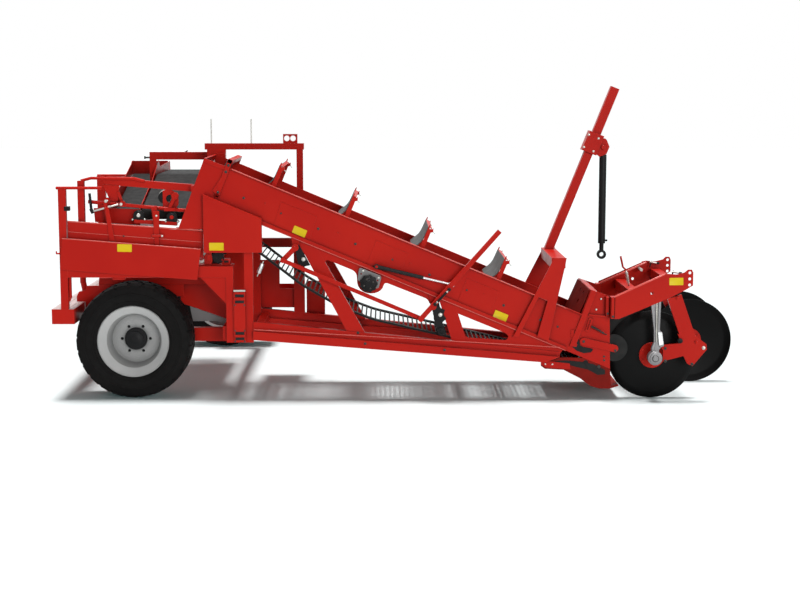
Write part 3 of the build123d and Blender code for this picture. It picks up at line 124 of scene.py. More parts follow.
def red_enamel():
    """Bright red enamel with deeper patches, painted shade in its corners, and paler edges that are part wear
    and part painted highlight.
    """
    finish, tree, shader, place = new_finish("red_enamel")
    normal, near_edge = round_edges(tree, 0.0035, noise_from(tree, place, 90.0, 2.0), 0.0006)
    body = blend_colours(tree, spread(tree, noise_from(tree, place, 1.6)), RED, RED_DEEP)
    # painted shade: the body darkens in corners and under lips
    body = painted_corner_shade(tree, body, RED_CORNER_SHADE, 0.11, 0.10, 0.78)
    # paler edges: part wear of the coat, part painted highlight
    feed(tree, shader, {
        "Normal": normal, "Base Color": blend_colours(tree, near_edge, body, RED_EDGE_WEAR_AND_HIGHLIGHT),
        "Roughness": spread(tree, noise_from(tree, place, 14.0), 0.30, 0.42),
        "Specular IOR Level": 0.075, "Coat Weight": 0.03, "Coat Roughness": 0.12})
    return finish


def dress(nodes, finish):
    """Gives solids of the frame their finish."""
    for node in nodes:
        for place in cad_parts[node].material_slots:
            place.material = finish


red = (red_enamel(), "red_paint")       # a coat is a finish, paired with the name of a slot
dress(RED_NODES, red[0])

# ------------------------------------------------------------ black paint, steel and rubber
# Hubs, cylinders, rollers and bearings are black, the coulter discs hardened black plate, the rims
# pale grey. Tyres, belts and flaps are dull rubber, and bolts are zinc-plated or oiled steel.


def coat(name, slot, colour, second, roughness, metallic=0.0, edge=None, grain=60.0, depth=0.0004,
         shine=0.16, painted_shade_colour=None, nodes=()):
    """A finish in two near colours, with its slot, put at once on the solids that wear it."""
    finish, tree, shader, place = new_finish(name)
    normal, near_edge = round_edges(tree, 0.0025, noise_from(tree, place, grain), depth)
    body = blend_colours(tree, spread(tree, noise_from(tree, place, 5.0)), colour, second)
    # painted shade: the colour darkens where other surfaces stand near, as in a recess
    if painted_shade_colour:
        body = painted_corner_shade(tree, body, painted_shade_colour, 0.22, 0.42, 0.86)
    # the edge colour, mostly paler, is part wear and part painted highlight along edges
    if edge:
        body = blend_colours(tree, near_edge, body, edge)
    feed(tree, shader, {
        "Normal": normal, "Base Color": body, "Metallic": metallic, "Specular IOR Level": shine,
        "Roughness": spread(tree, noise_from(tree, place, 18.0), *roughness)})
    dress(nodes, finish)
    return finish, slot


# a paler red with near-white edges, a painted highlight for folds and lips that catch the light
painted_highlight_red = coat("red_fold_painted_highlight", "red_paint", (0.66, 0.085, 0.065), (0.60, 0.060, 0.045), (0.25, 0.35),
                edge=(0.80, 0.30, 0.26), shine=0.4)
# a dull dark red that stands for shade: painted shade
painted_shade_red = coat("painted_shade_red", "red_paint", (0.16, 0.010, 0.007), (0.11, 0.008, 0.006), (0.75, 0.85),
                 shine=0.02)
# the share is coated a darker red
coat("dark_share_red", "red_paint", (0.24, 0.011, 0.007), (0.17, 0.009, 0.006), (0.5, 0.65), shine=0.06,
     nodes=["intake_share"])
black = coat("black_enamel", "black_paint", (0.008, 0.008, 0.0085), (0.005, 0.005, 0.0055), (0.34, 0.48),
             edge=(0.05, 0.05, 0.05), shine=0.14,
             nodes=["lift_barrel", "lift_rod", "drive_motor", "table_bearings", "table_drum", "web_rollers",
                    "belt_rollers"])
coat("gloss_black_enamel", "black_paint", (0.008, 0.008, 0.0085), (0.006, 0.006, 0.0065), (0.16, 0.24),
     edge=(0.06, 0.06, 0.06), shine=0.22, nodes=["control_barrel"])
coulter = coat("black_coulter_steel", "disc_steel", (0.0050, 0.0050, 0.0050), (0.0038, 0.0038, 0.0038),
               (0.36, 0.46), edge=(0.03, 0.03, 0.03), shine=0.07,
               nodes=["disc_near", "disc_lead", "disc_outer"])
coat("web_steel", "web_steel", (0.014, 0.014, 0.014), (0.008, 0.008, 0.008), (0.45, 0.6),
     edge=(0.05, 0.05, 0.05), shine=0.10, nodes=["rod_web"])
# painted shade darkens the rim's recess, and its paler edge is part wear, part painted highlight
coat("rim_enamel", "rim_paint", (0.50, 0.495, 0.49), (0.44, 0.44, 0.435), (0.35, 0.5),
     edge=(0.62, 0.62, 0.61), shine=0.4, painted_shade_colour=(0.10, 0.10, 0.10), nodes=["rim_near", "rim_far"])
tyre_rubber = coat("tyre_rubber", "tyre", (0.0055, 0.0050, 0.0050), (0.0075, 0.0070, 0.0068), (0.55, 0.75),
                   grain=160.0, depth=0.001, shine=0.07, nodes=["tyre_near", "tyre_far"])
belt_rubber = coat("belt_rubber", "belt", (0.012, 0.012, 0.012), (0.017, 0.017, 0.0165), (0.55, 0.75),
                   grain=200.0, depth=0.001, shine=0.15,
                   nodes=["cross_belts", "flap_rubbers", "gauge_roller"])
cast = coat("cast_silver", "cast_steel", (0.26, 0.255, 0.26), (0.19, 0.185, 0.19), (0.34, 0.48), 0.6,
            edge=(0.55, 0.55, 0.55), nodes=["disc_leg_near"])
zinc = coat("bright_zinc", "zinc", (0.55, 0.54, 0.50), (0.45, 0.44, 0.41), (0.30, 0.45), 0.8,
            nodes=["hitch_pins", "marker_rods"])
coat("hard_chrome", "chrome", (0.72, 0.72, 0.73), (0.66, 0.66, 0.67), (0.10, 0.2), 1.0, nodes=["control_rod"])

# ------------------------------------------------------------ tyres
# Wide implement tyres of black rubber. The carcass has flat sidewalls with a protector ring, and the
# tread is four rows of moulded blocks with shallow grooves. Each tyre is fitted on its rim.
HUB_HIGH = 0.505
PITCHES = 26
ROWS = (        # distance from the middle, width, run, how far the outer edge drops, lag in pitches
    (-0.044, 0.076, 0.104, 0.0, 0.0), (0.044, 0.076, 0.104, 0.0, 0.5),
    (-0.134, 0.094, 0.108, 0.014, 0.25), (0.134, 0.094, 0.108, 0.014, 0.75))
WHEELS = (      # body, tyre node, x, y, outward side
    ("wheel_near", "tyre_near", -2.340, -1.307, -1),
    ("wheel_far", "tyre_far", -1.846, 1.500, 1),
)
CARCASS = (     # radius and distance from the middle of the tread, from the bead to the crown
    (0.3125, 0.172), (0.322, 0.184), (0.338, 0.190), (0.341, 0.195), (0.352, 0.195), (0.356, 0.192),
    (0.372, 0.194), (0.405, 0.195), (0.409, 0.199), (0.418, 0.199), (0.423, 0.194), (0.448, 0.190),
    (0.474, 0.182), (0.489, 0.162), (0.4945, 0.110), (0.496, 0.050),
)


def to_edit():
    """Opens the active piece's mesh with all of it selected."""
    bpy.ops.object.mode_set(mode="EDIT")
    bpy.ops.mesh.select_all(action="SELECT")


def to_object():
    """Closes the mesh."""
    bpy.ops.object.mode_set(mode="OBJECT")


def clear_bench():
    """Lets go of everything before the next piece is begun."""
    bpy.ops.object.select_all(action="DESELECT")


def in_hand(piece):
    """Selects one piece alone and makes it the one that is worked on."""
    clear_bench()
    piece.select_set(True)
    bpy.context.view_layer.objects.active = piece


def first_vertex(name, place):
    """A mesh of one vertex in edit mode, from which an outline is drawn out."""
    clear_bench()
    bpy.ops.mesh.primitive_plane_add(size=0.01, location=(0, 0, 0))
    piece = bpy.context.active_object
    piece.name = name
    to_edit()
    bpy.ops.mesh.select_mode(type="VERT")
    bpy.ops.mesh.merge(type="CENTER")
    bpy.ops.transform.translate(value=place)
    return piece


def draw_on(points):
    """Extrudes the selected vertex from point to point."""
    for start, end in zip(points, points[1:]):
        bpy.ops.mesh.extrude_region_move(TRANSFORM_OT_translate={"value": Vector(end) - Vector(start)})


def merge_all():
    """Selects the whole mesh and merges what lies in one place."""
    bpy.ops.mesh.select_all(action="SELECT")
    bpy.ops.mesh.remove_doubles(threshold=0.00002)
    bpy.ops.mesh.select_all(action="SELECT")


def face_out():
    """Turns all faces outwards and leaves edit mode."""
    bpy.ops.mesh.select_all(action="SELECT")
    bpy.ops.mesh.normals_make_consistent(inside=False)
    to_object()


def spun(name, profile, centre, steps=64):
    """Spins a profile of (radius, offset along Y) about the Y axis through centre. A profile that
    starts on the axis is left open there, and any other is closed to a ring."""
    cx, cy, cz = centre
    points = [(cx + radius, cy + along, cz) for radius, along in profile]
    piece = first_vertex(name, points[0])
    draw_on(points + points[:1] if profile[0][0] > 0 else points)
    merge_all()
    bpy.ops.mesh.spin(steps=steps, angle=math.tau, center=centre, axis=(0, 1, 0))
    merge_all()
    face_out()
    return piece


def cube_at(name, low, high):
    """A box between two corners, its place in its mesh."""
    clear_bench()
    middle = [(a + b) / 2 for a, b in zip(low, high)]
    bpy.ops.mesh.primitive_cube_add(size=1.0, location=middle, scale=[b - a for a, b in zip(low, high)])
    piece = bpy.context.active_object
    piece.name = name
    bpy.ops.object.transform_apply()
    return piece


def pick(test, part="FACE"):
    """Selects the faces, or the vertices, that pass a test of their centre and normal."""
    bpy.ops.mesh.select_all(action="DESELECT")
    bpy.ops.mesh.select_mode(type=part)
    mesh = bmesh.from_edit_mesh(bpy.context.object.data)
    for item in mesh.faces if part == "FACE" else mesh.verts:
        place = item.calc_center_median() if part == "FACE" else item.co
        item.select_set(test(place, item.normal))
    mesh.select_flush_mode()
    bmesh.update_edit_mesh(bpy.context.object.data)


def soften(piece, width, segments=2):
    """Bevels every edge of a piece."""
    in_hand(piece)
    to_edit()
    bpy.ops.mesh.bevel(offset=width, segments=segments, affect="EDGES")
    to_object()
    return piece


def copied(piece, move):
    """A copy of a piece with its own mesh, moved by a matrix."""
    again = piece.copy()
    again.data = piece.data.copy()
    again.data.transform(move)
    bpy.context.collection.objects.link(again)
    return again


def turned_about(centre, angle, axis="Y"):
    """A turn about an axis through a point."""
    return Matrix.Translation(centre) @ Matrix.Rotation(angle, 4, axis) @ Matrix.Translation(-Vector(centre))


def around(pattern, centre, count, lag=0.0):
    """Copies of a pattern all round a centre. The pattern itself is thrown away."""
    ring = [copied(pattern, turned_about(centre, math.tau * (i + lag) / count)) for i in range(count)]
    bpy.data.objects.remove(pattern)
    return ring


def joined(name, parts):
    """Joins parts into one mesh."""
    in_hand(parts[0])
    for part in parts:
        part.select_set(True)
    if len(parts) > 1:
        bpy.ops.object.join()
    parts[0].name = name
    return parts[0]


def fit(piece, coat_on, *nodes, body="root"):
    """Smooths a finished piece, coats it, lets it ride on its body, and sets it in for its nodes."""
    in_hand(piece)
    bpy.ops.object.shade_smooth_by_angle(angle=math.radians(33))
    finish, slot = coat_on
    piece.data.materials.clear()
    piece.data.materials.append(finish)
    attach(piece, body)
    if nodes:
        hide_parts(*nodes)


def tread_block(hub, along, wide, run, slant):
    """One moulded block standing on the top of the carcass, its outer edge lowered by slant."""
    x, y, z = hub
    low = (x - run / 2, y + along - wide / 2, z + HUB_HIGH - 0.026)
    high = (x + run / 2, y + along + wide / 2, z + HUB_HIGH - 0.0015)
    block = cube_at("block", low, high)
    to_edit()
    pick(lambda place, normal: normal.z > 0.9)
    bpy.ops.transform.resize(value=(0.92, 0.95, 1.0))
    if slant:
        outward = 1 if along > 0 else -1
        pick(lambda place, normal: (place.y - y) * outward > abs(along), "VERT")
        bpy.ops.transform.translate(value=(0, 0, -slant))
        bpy.ops.transform.resize(value=(0.90, 1.0, 1.0))
    to_object()
    return soften(block, 0.003, 1)


for body, tyre_node, wheel_x, wheel_y, side in WHEELS:
    hub = (wheel_x, wheel_y, HUB_HIGH)
    flank = [(radius, -away) for radius, away in CARCASS] + [(radius, away) for radius, away in CARCASS[::-1]]
    tyre = [spun("carcass", flank, hub, 120)]
    for along, wide, run, slant, lag in ROWS:
        tyre += around(tread_block(hub, along, wide, run, slant), hub, PITCHES, lag)
    fit(joined("tread_" + body, tyre), tyre_rubber, tyre_node, body=body)

# ------------------------------------------------------------ hubs
# A black cast hub stands in the middle of each rim, with a pressed grease cap. Behind the rim's disc
# lies the brake drum, seen through the disc's six holes.
HUB_COVER = ((0.0, 0.0670), (0.030, 0.0668), (0.036, 0.0655), (0.0385, 0.0640), (0.0700, 0.0636),
             (0.0728, 0.0615), (0.0732, 0.0480), (0.0905, 0.0470), (0.0935, 0.0445), (0.0945, 0.0090),
             (0.0990, 0.0070), (0.0990, 0.0062), (0.0, 0.0062))
BRAKE_DRUM = ((0.0, -0.0095), (0.160, -0.0095), (0.160, -0.022), (0.0, -0.022))
TYRE_HALF, FACE_BACK = 0.200, 0.205     # half the tyre's width, and how deep the rim's disc lies in it
for body, tyre_node, wheel_x, wheel_y, side in WHEELS:
    face = (wheel_x, wheel_y + side * (TYRE_HALF - FACE_BACK), HUB_HIGH)
    hub = [spun("hub_part", [(radius, side * out) for radius, out in profile], face, steps)
           for profile, steps in ((HUB_COVER, 48), (BRAKE_DRUM, 40))]
    fit(joined("hub_" + body, hub), black, body=body)

# ------------------------------------------------------------ ridge discs
# Dished discs of hardened plate, black all over, with an edge ground from one side. A red hub flange
# with six bolts is bolted through the middle of each, and turns with it.
DISC_HIGH, BLADE_THICK, DISH_DEEP, BOLT_CIRCLE = 0.383, 0.008, 0.037, 0.092
DISCS = (       # name, x, y, side that it bulges to
    ("disc_near", 2.157, -1.493, -1), ("disc_lead", 2.640, -0.658, 1), ("disc_outer", 2.640, -0.070, 1))
for name, disc_x, disc_y, bulge in DISCS:
    middle = (disc_x, disc_y, DISC_HIGH)
    dish = -bulge * DISH_DEEP
    blade = [(0.031, 0.0), (0.317, 0.0), (0.329, dish * 0.10), (0.352, dish * 0.42), (0.3815, dish * 0.97),
             (0.3828, dish + 0.004), (0.379, dish + 0.0075), (0.352, dish * 0.42 + BLADE_THICK),
             (0.329, dish * 0.10 + BLADE_THICK), (0.317, BLADE_THICK), (0.031, BLADE_THICK)]
    fit(spun(name + "_blade", blade, middle, 120), coulter, name, body=name)
    flange = []
    for out, way in ((0.0, -1), (BLADE_THICK, 1)):
        ring = [(0.0305, 0.0), (0.1115, 0.0), (0.1115, 0.011), (0.1090, 0.0138), (0.0680, 0.0138),
                (0.0305, 0.0138)]
        flange.append(spun("flange", [(radius, out + way * along) for radius, along in ring], middle))
        for i in range(6):
            turn = math.tau * (i + 0.5) / 6
            spot = (disc_x + BOLT_CIRCLE * math.cos(turn), disc_y, DISC_HIGH + BOLT_CIRCLE * math.sin(turn))
            head = [(0.0, 0.0205), (0.0085, 0.0205), (0.0105, 0.0190), (0.0105, 0.012), (0.0, 0.012)]
            flange.append(spun("bolt", [(radius, out + way * along) for radius, along in head], spot, 6))
    fit(joined(name + "_flange", flange), red, body=name)

# ------------------------------------------------------------ elevator side
# The near side carries a folded lower skirt, three lapped stiffening sheets and a row of bolts that
# hold the belt's slide rails inside. All are steel sheet, plug-welded or bolted to the side.
SIDE_FACE = -1.547
LOWER_EDGE = ((-1.206, 1.5204), (1.398, 0.4337))     # the side's lower edge, as (x, z)
LAPS = (        # upper corner, lower corner, how far up the slope the sheet reaches
    ((-0.739, 1.593), (-0.804, 1.388), 0.330),
    ((0.043, 1.275), (-0.047, 1.052), 0.300),
    ((0.821, 0.947), (0.736, 0.730), 0.300),
)
SIDE_BOLTS = ((-1.362, 1.752), (-1.045, 1.621), (-0.729, 1.489), (-0.412, 1.358), (-0.095, 1.224),
              (0.222, 1.092), (0.543, 0.959), (0.862, 0.826), (1.180, 0.700))
LAP_RIVETS = ((-1.180, 1.705), (-0.560, 1.452), (0.060, 1.190), (0.690, 0.925))


def plate(name, outline, low, high, holes=(), edge=0.0015):
    """A flat plate cut to an outline of (x, z) points, between two places across the machine."""
    corners = [(x, low, z) for x, z in outline]
    piece = first_vertex(name, corners[0])
    draw_on(corners)
    bpy.ops.mesh.select_all(action="SELECT")
    bpy.ops.mesh.edge_face_add()
    bpy.ops.mesh.extrude_region_move(TRANSFORM_OT_translate={"value": (0, high - low, 0)})
    face_out()
    for x, z, radius in holes:
        drill(piece, (x, (low + high) / 2, z), radius, abs(high - low) + 0.04)
    return soften(piece, edge, 1) if edge else piece


def oblong(x0, z0, x1, z1):
    """The outline of an upright oblong between two corners."""
    return [(x0, z0), (x1, z0), (x1, z1), (x0, z1)]


def worked(piece, kind, **settings):
    """Puts a modifier on a piece and applies it."""
    in_hand(piece)
    step = piece.modifiers.new("step", kind)
    for name, value in settings.items():
        setattr(step, name, value)
    bpy.ops.object.modifier_apply(modifier="step")
    return piece


def drill(piece, place, radius, long, turn=(math.pi / 2, 0, 0)):
    """Drills a round hole through a piece, across the machine unless turned."""
    clear_bench()
    bpy.ops.mesh.primitive_cylinder_add(vertices=20, radius=radius, depth=long, location=place, rotation=turn)
    bit = bpy.context.active_object
    worked(piece, "BOOLEAN", operation="DIFFERENCE", solver="EXACT", object=bit)
    bpy.data.objects.remove(bit)


def bolt(radius, high):
    """A hexagon bolt head on its washer, its foot at the origin, standing out to the near side."""
    clear_bench()
    bpy.ops.mesh.primitive_cylinder_add(vertices=6, radius=radius, depth=high,
                                        location=(0, -high / 2 - 0.002, 0), rotation=(math.pi / 2, 0, 0))
    head = bpy.context.active_object
    bpy.ops.object.transform_apply()
    to_edit()
    pick(lambda place, normal: normal.y < -0.9)
    bpy.ops.mesh.inset(thickness=radius * 0.16, depth=radius * 0.10)
    to_object()
    washer = spun("washer", [(0.0, -0.002), (radius * 1.30, -0.002), (radius * 1.36, 0.001), (0.0, 0.001)],
                  (0, 0, 0), 20)
    return joined("bolt", [head, washer])


def bolted(name, coat_on, face, spots, radius=0.011, high=0.008, way=(0, -1, 0)):
    """Like bolts in one piece, at (x, z) spots on a face. A spot may name a face of its own."""
    pattern = bolt(radius, high)
    turn = Vector((0, -1, 0)).rotation_difference(Vector(way)).to_matrix().to_4x4()
    group = [copied(pattern, Matrix.Translation((x, own[0] if own else face, z)) @ turn)
             for x, z, *own in spots]
    bpy.data.objects.remove(pattern)
    fit(joined(name, group), coat_on)


dark_zinc = coat("dark_bolts", "black_paint", (0.030, 0.028, 0.027), (0.050, 0.046, 0.043), (0.32, 0.5), 0.7,
                 edge=(0.16, 0.15, 0.14))
run = Vector((LOWER_EDGE[1][0] - LOWER_EDGE[0][0], LOWER_EDGE[1][1] - LOWER_EDGE[0][1])).normalized()
(x0, z0), (x1, z1) = LOWER_EDGE
fit(plate("elevator_skirt", [(x0, z0), (x1, z1), (x1, z1 + 0.036), (x0, z0 + 0.036)], -1.5672, -1.5640,
          edge=0.0012), red)
laps = []
for (ax, az), (bx, bz), up in LAPS:
    laps.append(plate("lap", [(ax, az), (bx, bz), (bx - run.x * up, bz - run.y * up),
                              (ax - run.x * up, az - run.y * up)], -1.5498, -1.5465, edge=0.001))
fit(joined("elevator_laps", laps), red)
bolted("elevator_side_bolts", dark_zinc, SIDE_FACE, SIDE_BOLTS, 0.0085, 0.006)
bolted("elevator_side_rivets", red, SIDE_FACE, LAP_RIVETS, 0.006, 0.003)

# ------------------------------------------------------------ sign plates
# Blank yellow aluminium plates mark the places for signs. Each has rounded corners and a pressed
# border, and is glued to the painted sheet.
SIGNS = (       # centre x, y face, z, width, height, slope in degrees
    (-0.888, -1.5498, 1.4655, 0.118, 0.066, -22.6), (0.836, -1.5498, 0.734, 0.122, 0.068, -22.6),
    (-2.381, -1.566, 1.327, 0.124, 0.066, -1.5), (-1.593, -1.609, 1.3425, 0.124, 0.066, 0.0),
    (2.326, -1.654, 1.0445, 0.120, 0.064, 1.0),
)
sign_yellow = coat("sign_yellow", None, (0.76, 0.56, 0.010), (0.70, 0.50, 0.008), (0.3, 0.42),
                   edge=(0.55, 0.42, 0.02), grain=120.0, depth=0.0002)
signs = []
for x, face, z, wide, tall, slope in SIGNS:
    clear_bench()
    bpy.ops.mesh.primitive_plane_add(size=1.0, location=(x, face - 0.0016, z), rotation=(math.pi / 2, 0, 0))
    sign = bpy.context.active_object
    sign.scale = (wide, tall, 1)
    bpy.ops.object.transform_apply()
    to_edit()
    bpy.ops.mesh.bevel(offset=0.006, segments=3, affect="VERTICES")
    bpy.ops.mesh.select_all(action="SELECT")
    bpy.ops.mesh.inset(thickness=0.004, depth=0.0)
    bpy.ops.mesh.inset(thickness=0.0015, depth=-0.0006)
    face_out()
    sign.data.transform(turned_about((x, face, z), math.radians(-slope)))
    signs.append(worked(sign, "SOLIDIFY", thickness=0.002, offset=-1.0))
fit(joined("sign_plates", signs), sign_yellow)

# ------------------------------------------------------------ flap frames and rubber flaps
# Four light frames of red flat bar stand over the elevator, each with forked tips and a thin cross
# plate. A grey rubber flap is clamped to each and trails towards the head. A fifth spans the head.
ELEVATOR_FOOT = Vector((1.788, 0.271))
ELEVATOR_SLOPE = math.radians(22.65)
SIDE_TALL = 0.375
FRAMES_AT = (-1.105, -0.485, 0.160, 0.815)
INSIDES = (-1.541, -0.703)
POST = ((-0.018, -0.060), (0.018, -0.060), (0.018, 0.148), (0.025, 0.150), (0.036, 0.163), (0.030, 0.174),
        (0.027, 0.192), (0.019, 0.178), (0.006, 0.178), (0.000, 0.170), (-0.006, 0.178), (-0.008, 0.203),
        (-0.013, 0.214), (-0.018, 0.200))
TRAIL = ((-0.018, 0.182), (-0.019, 0.120), (-0.022, 0.075), (-0.030, 0.040), (-0.044, 0.010),
         (-0.062, -0.018), (-0.076, -0.046))
TAIL = ((0.026, 0.162), (0.056, 0.150))
CROSS_PLATE = ((-0.017, 0.180), (0.016, 0.180), (0.016, 0.184), (-0.017, 0.184))
CLAMP_LATH = ((-0.014, 0.140), (-0.009, 0.140), (-0.009, 0.181), (-0.014, 0.181))
HEAD_BRACE = ((-1.589, 1.775), (-1.466, 2.079))      # foot and top of the brace over the head


def above_side(station, along, up):
    """A point near the side's top edge: along the slope, and square to it, as (x, z)."""
    across = Vector((math.cos(ELEVATOR_SLOPE), -math.sin(ELEVATOR_SLOPE)))
    square = Vector((math.sin(ELEVATOR_SLOPE), math.cos(ELEVATOR_SLOPE)))
    top = ELEVATOR_FOOT.y + (ELEVATOR_FOOT.x - station) * math.tan(ELEVATOR_SLOPE) + SIDE_TALL
    return Vector((station, top)) + across * along + square * up


def rod(name, start, end, radius, sides=16, edge=0.001):
    """A round bar between two points, its ends broken with a small bevel."""
    clear_bench()
    line = Vector(end) - Vector(start)
    turn = Vector((0, 0, 1)).rotation_difference(line).to_euler()
    bpy.ops.mesh.primitive_cylinder_add(vertices=sides, radius=radius, depth=line.length, rotation=turn,
                                        location=(Vector(start) + Vector(end)) / 2)
    bar = bpy.context.active_object
    bar.name = name
    bpy.ops.object.transform_apply()
    to_edit()
    pick(lambda place, normal: abs(normal.dot(line.normalized())) > 0.9)
    bpy.ops.mesh.bevel(offset=min(edge, radius * 0.3), segments=2, affect="EDGES")
    to_object()
    return bar


def curtain(name, path, low, high, thick):
    """A sheet bent along a path of (x, z) points, between two places across the machine."""
    piece = first_vertex(name, (path[0][0], low, path[0][1]))
    draw_on([(x, low, z) for x, z in path])
    bpy.ops.mesh.select_all(action="SELECT")
    bpy.ops.mesh.extrude_region_move(TRANSFORM_OT_translate={"value": (0, high - low, 0)})
    to_object()
    return worked(piece, "SOLIDIFY", thickness=thick, offset=0.0)


flap_rubber = coat("flap_rubber", "belt", (0.115, 0.113, 0.112), (0.085, 0.083, 0.082), (0.6, 0.8),
                   grain=220.0, depth=0.001, shine=0.2)
frames, flaps, clamp_bolts = [], [], []
for station in FRAMES_AT:
    post = [above_side(station, along, up) for along, up in POST]
    for near, out in ((INSIDES[0], 0.010), (INSIDES[1], -0.010)):
        frames.append(plate("post", post, near, near + out))
        tail = [above_side(station, *spot) for spot in TAIL]
        clamp_bolts.append(rod("tail", *[(p.x, near + out / 2, p.y) for p in tail], 0.0038, 10))
    for section in (CROSS_PLATE, CLAMP_LATH):
        bar = [above_side(station, along, up) for along, up in section]
        frames.append(plate("bar", bar, INSIDES[0] + 0.008, INSIDES[1] - 0.008, edge=0.0008))
    trail = [above_side(station, *spot) for spot in TRAIL]
    flaps.append(curtain("flap", trail, INSIDES[0] + 0.013, INSIDES[1] - 0.013, 0.007))
foot, top = Vector(HEAD_BRACE[0]), Vector(HEAD_BRACE[1])
up = (top - foot).normalized()
side = Vector((up.y, -up.x))
for near, out in ((-1.555, -0.008), (-0.697, 0.008)):
    blade = [foot - side * 0.014 - up * 0.016, foot + side * 0.014 - up * 0.016, foot + side * 0.021,
             top + side * 0.021 - up * 0.006, top + side * 0.014, top - side * 0.021, foot - side * 0.021]
    frames.append(plate("brace", blade, near, near + out))
web = [foot - side * 0.050 + up * 0.020, foot - side * 0.020 + up * 0.010, foot - side * 0.018 + up * 0.150,
       foot - side * 0.022 + up * 0.160]
frames.append(plate("brace_gusset", web, -1.555, -1.559))
cap = [top - side * 0.021 - up * 0.036, top + side * 0.021 - up * 0.036, top + side * 0.021,
       top - side * 0.021]
frames.append(plate("head_bar", cap, -1.563, -0.689, edge=0.002))
frames.append(rod("brace_pin", (foot.x, -1.563, foot.y), (foot.x, -1.547, foot.y), 0.021, 24))
hang = top - up * 0.020 - side * 0.026
flaps.append(curtain("head_flap", [hang, hang - up * 0.065 - side * 0.004, hang - up * 0.130 - side * 0.016],
                     INSIDES[0] + 0.012, INSIDES[1] - 0.012, 0.008))
fit(joined("flap_posts", frames), red, "flap_frames")
fit(joined("flap_sheets", flaps), flap_rubber, "flap_rubbers")
fit(joined("flap_clamp_bolts", clamp_bolts), zinc)
brace_bolts = [foot + up * height for height in (0.030, 0.215, 0.275)]
bolted("head_brace_bolts", dark_zinc, -1.563, brace_bolts, 0.009)

# ------------------------------------------------------------ web drive
# A hydraulic gear motor drives the web from under the elevator. It is a black cast body with a
# toothed coupling ring, bolted through a grey machined plate. The rear motor has a plain body on a foot.
MOTOR_AT = (-0.299, 1.024)
MOTOR_PLATE = ((-0.366, 1.156), (-0.198, 1.089), (-0.190, 1.070), (-0.213, 0.985), (-0.230, 0.978),
               (-0.388, 1.046), (-0.394, 1.064), (-0.380, 1.150))
MOTOR_BODY = ((0.0, -1.652), (0.026, -1.652), (0.030, -1.649), (0.032, -1.641), (0.046, -1.640),
              (0.049, -1.637), (0.050, -1.629), (0.058, -1.628), (0.060, -1.625), (0.060, -1.618),
              (0.069, -1.616), (0.071, -1.613), (0.071, -1.600), (0.064, -1.596), (0.056, -1.590),
              (0.056, -1.578), (0.0, -1.578))
grey_plate = coat("machined_plate", "cast_steel", (0.20, 0.19, 0.19), (0.15, 0.145, 0.145), (0.35, 0.5), 0.25,
                  edge=(0.4, 0.4, 0.4), shine=0.3)
x, z = MOTOR_AT
fit(plate("motor_plate", MOTOR_PLATE, -1.5785, -1.5735,
          holes=((-0.363, 1.105, 0.007), (-0.222, 1.047, 0.007))), grey_plate)
motor = [spun("motor_body", MOTOR_BODY, (x, 0, z), 48)]
lug = cube_at("lug", (x + 0.064, -1.616, z - 0.012), (x + 0.077, -1.602, z + 0.012))
motor += around(soften(lug, 0.003, 1), (x, 0, z), 9)
REAR_BODY = ((0.0, -1.300), (0.020, -1.300), (0.024, -1.296), (0.028, -1.288), (0.040, -1.287),
             (0.0455, -1.283), (0.0455, -1.262), (0.041, -1.259), (0.041, -1.240), (0.0455, -1.237),
             (0.0455, -1.160), (0.042, -1.158), (0.022, -1.158), (0.022, -0.980), (0.020, -0.978),
             (0.0, -0.978))
motor.append(spun("rear_motor", REAR_BODY, (-1.650, 0, 1.228), 40))
motor.append(soften(cube_at("rear_motor_foot", (-1.700, -1.300, 1.166), (-1.600, -1.212, 1.208)), 0.004))
fit(joined("hydraulic_motors", motor), black, "drive_motor")
circle = [(x + 0.041 * math.cos(a), z + 0.041 * math.sin(a)) for a in (0.4, 1.97, 3.54, 5.11)]
bolted("motor_bolts", dark_zinc, -1.640, circle, 0.006, 0.005)
bolted("motor_plate_bolts", zinc, -1.5785, [(-0.346, 1.130), (-0.214, 1.070)], 0.007, 0.004)

# ------------------------------------------------------------ cross conveyor drive
# The second motor drives the cross conveyor by a black roller chain. A zinc-plated ring flange and a
# red welded clamp hold it on the rear beam, beside a small box whose slot is a thin black plate, its
# black painted shade.
x, z = -1.640, 1.237
ring = spun("ring_flange", [(0.030, -1.462), (0.050, -1.462), (0.054, -1.458), (0.054, -1.448),
                            (0.047, -1.444), (0.030, -1.444)], (x - 0.103, 0, z), 32)
fit(ring, zinc)
clamp = [plate("clamp", [(x - 0.075, z - 0.060), (x - 0.010, z - 0.060), (x - 0.002, z - 0.020),
                         (x - 0.014, z + 0.045), (x - 0.040, z + 0.052), (x - 0.072, z + 0.020)],
               -1.485, -1.445, edge=0.004),
         plate("clamp_ear", oblong(x - 0.052, z - 0.030, x - 0.020, z + 0.024), -1.492, -1.484, edge=0.003),
         soften(cube_at("clamp_foot", (x - 0.130, -1.478, z - 0.072), (x + 0.180, -1.400, z - 0.060)),
                0.002, 1),
         soften(cube_at("chain_box", (x + 0.075, -1.478, z - 0.060), (x + 0.150, -1.430, z - 0.012)), 0.004)]
fit(joined("conveyor_motor_clamp", clamp), red)
# the slot's black is painted shade
fit(plate("chain_box_slot_shade", oblong(x + 0.095, z - 0.046, x + 0.135, z - 0.026), -1.4795, -1.4770, edge=0.001),
    belt_rubber)
link = cube_at("link", (x + 0.038, -1.482, z + 0.044), (x + 0.054, -1.462, z + 0.054))
chain = around(soften(link, 0.003, 1), (x + 0.046, 0, z), 16)
chain.append(spun("sprocket", [(0.0, -1.476), (0.016, -1.478), (0.018, -1.472), (0.044, -1.472),
                               (0.047, -1.470), (0.044, -1.467), (0.0, -1.467)], (x + 0.046, 0, z), 24))
fit(joined("conveyor_chain", chain), black)

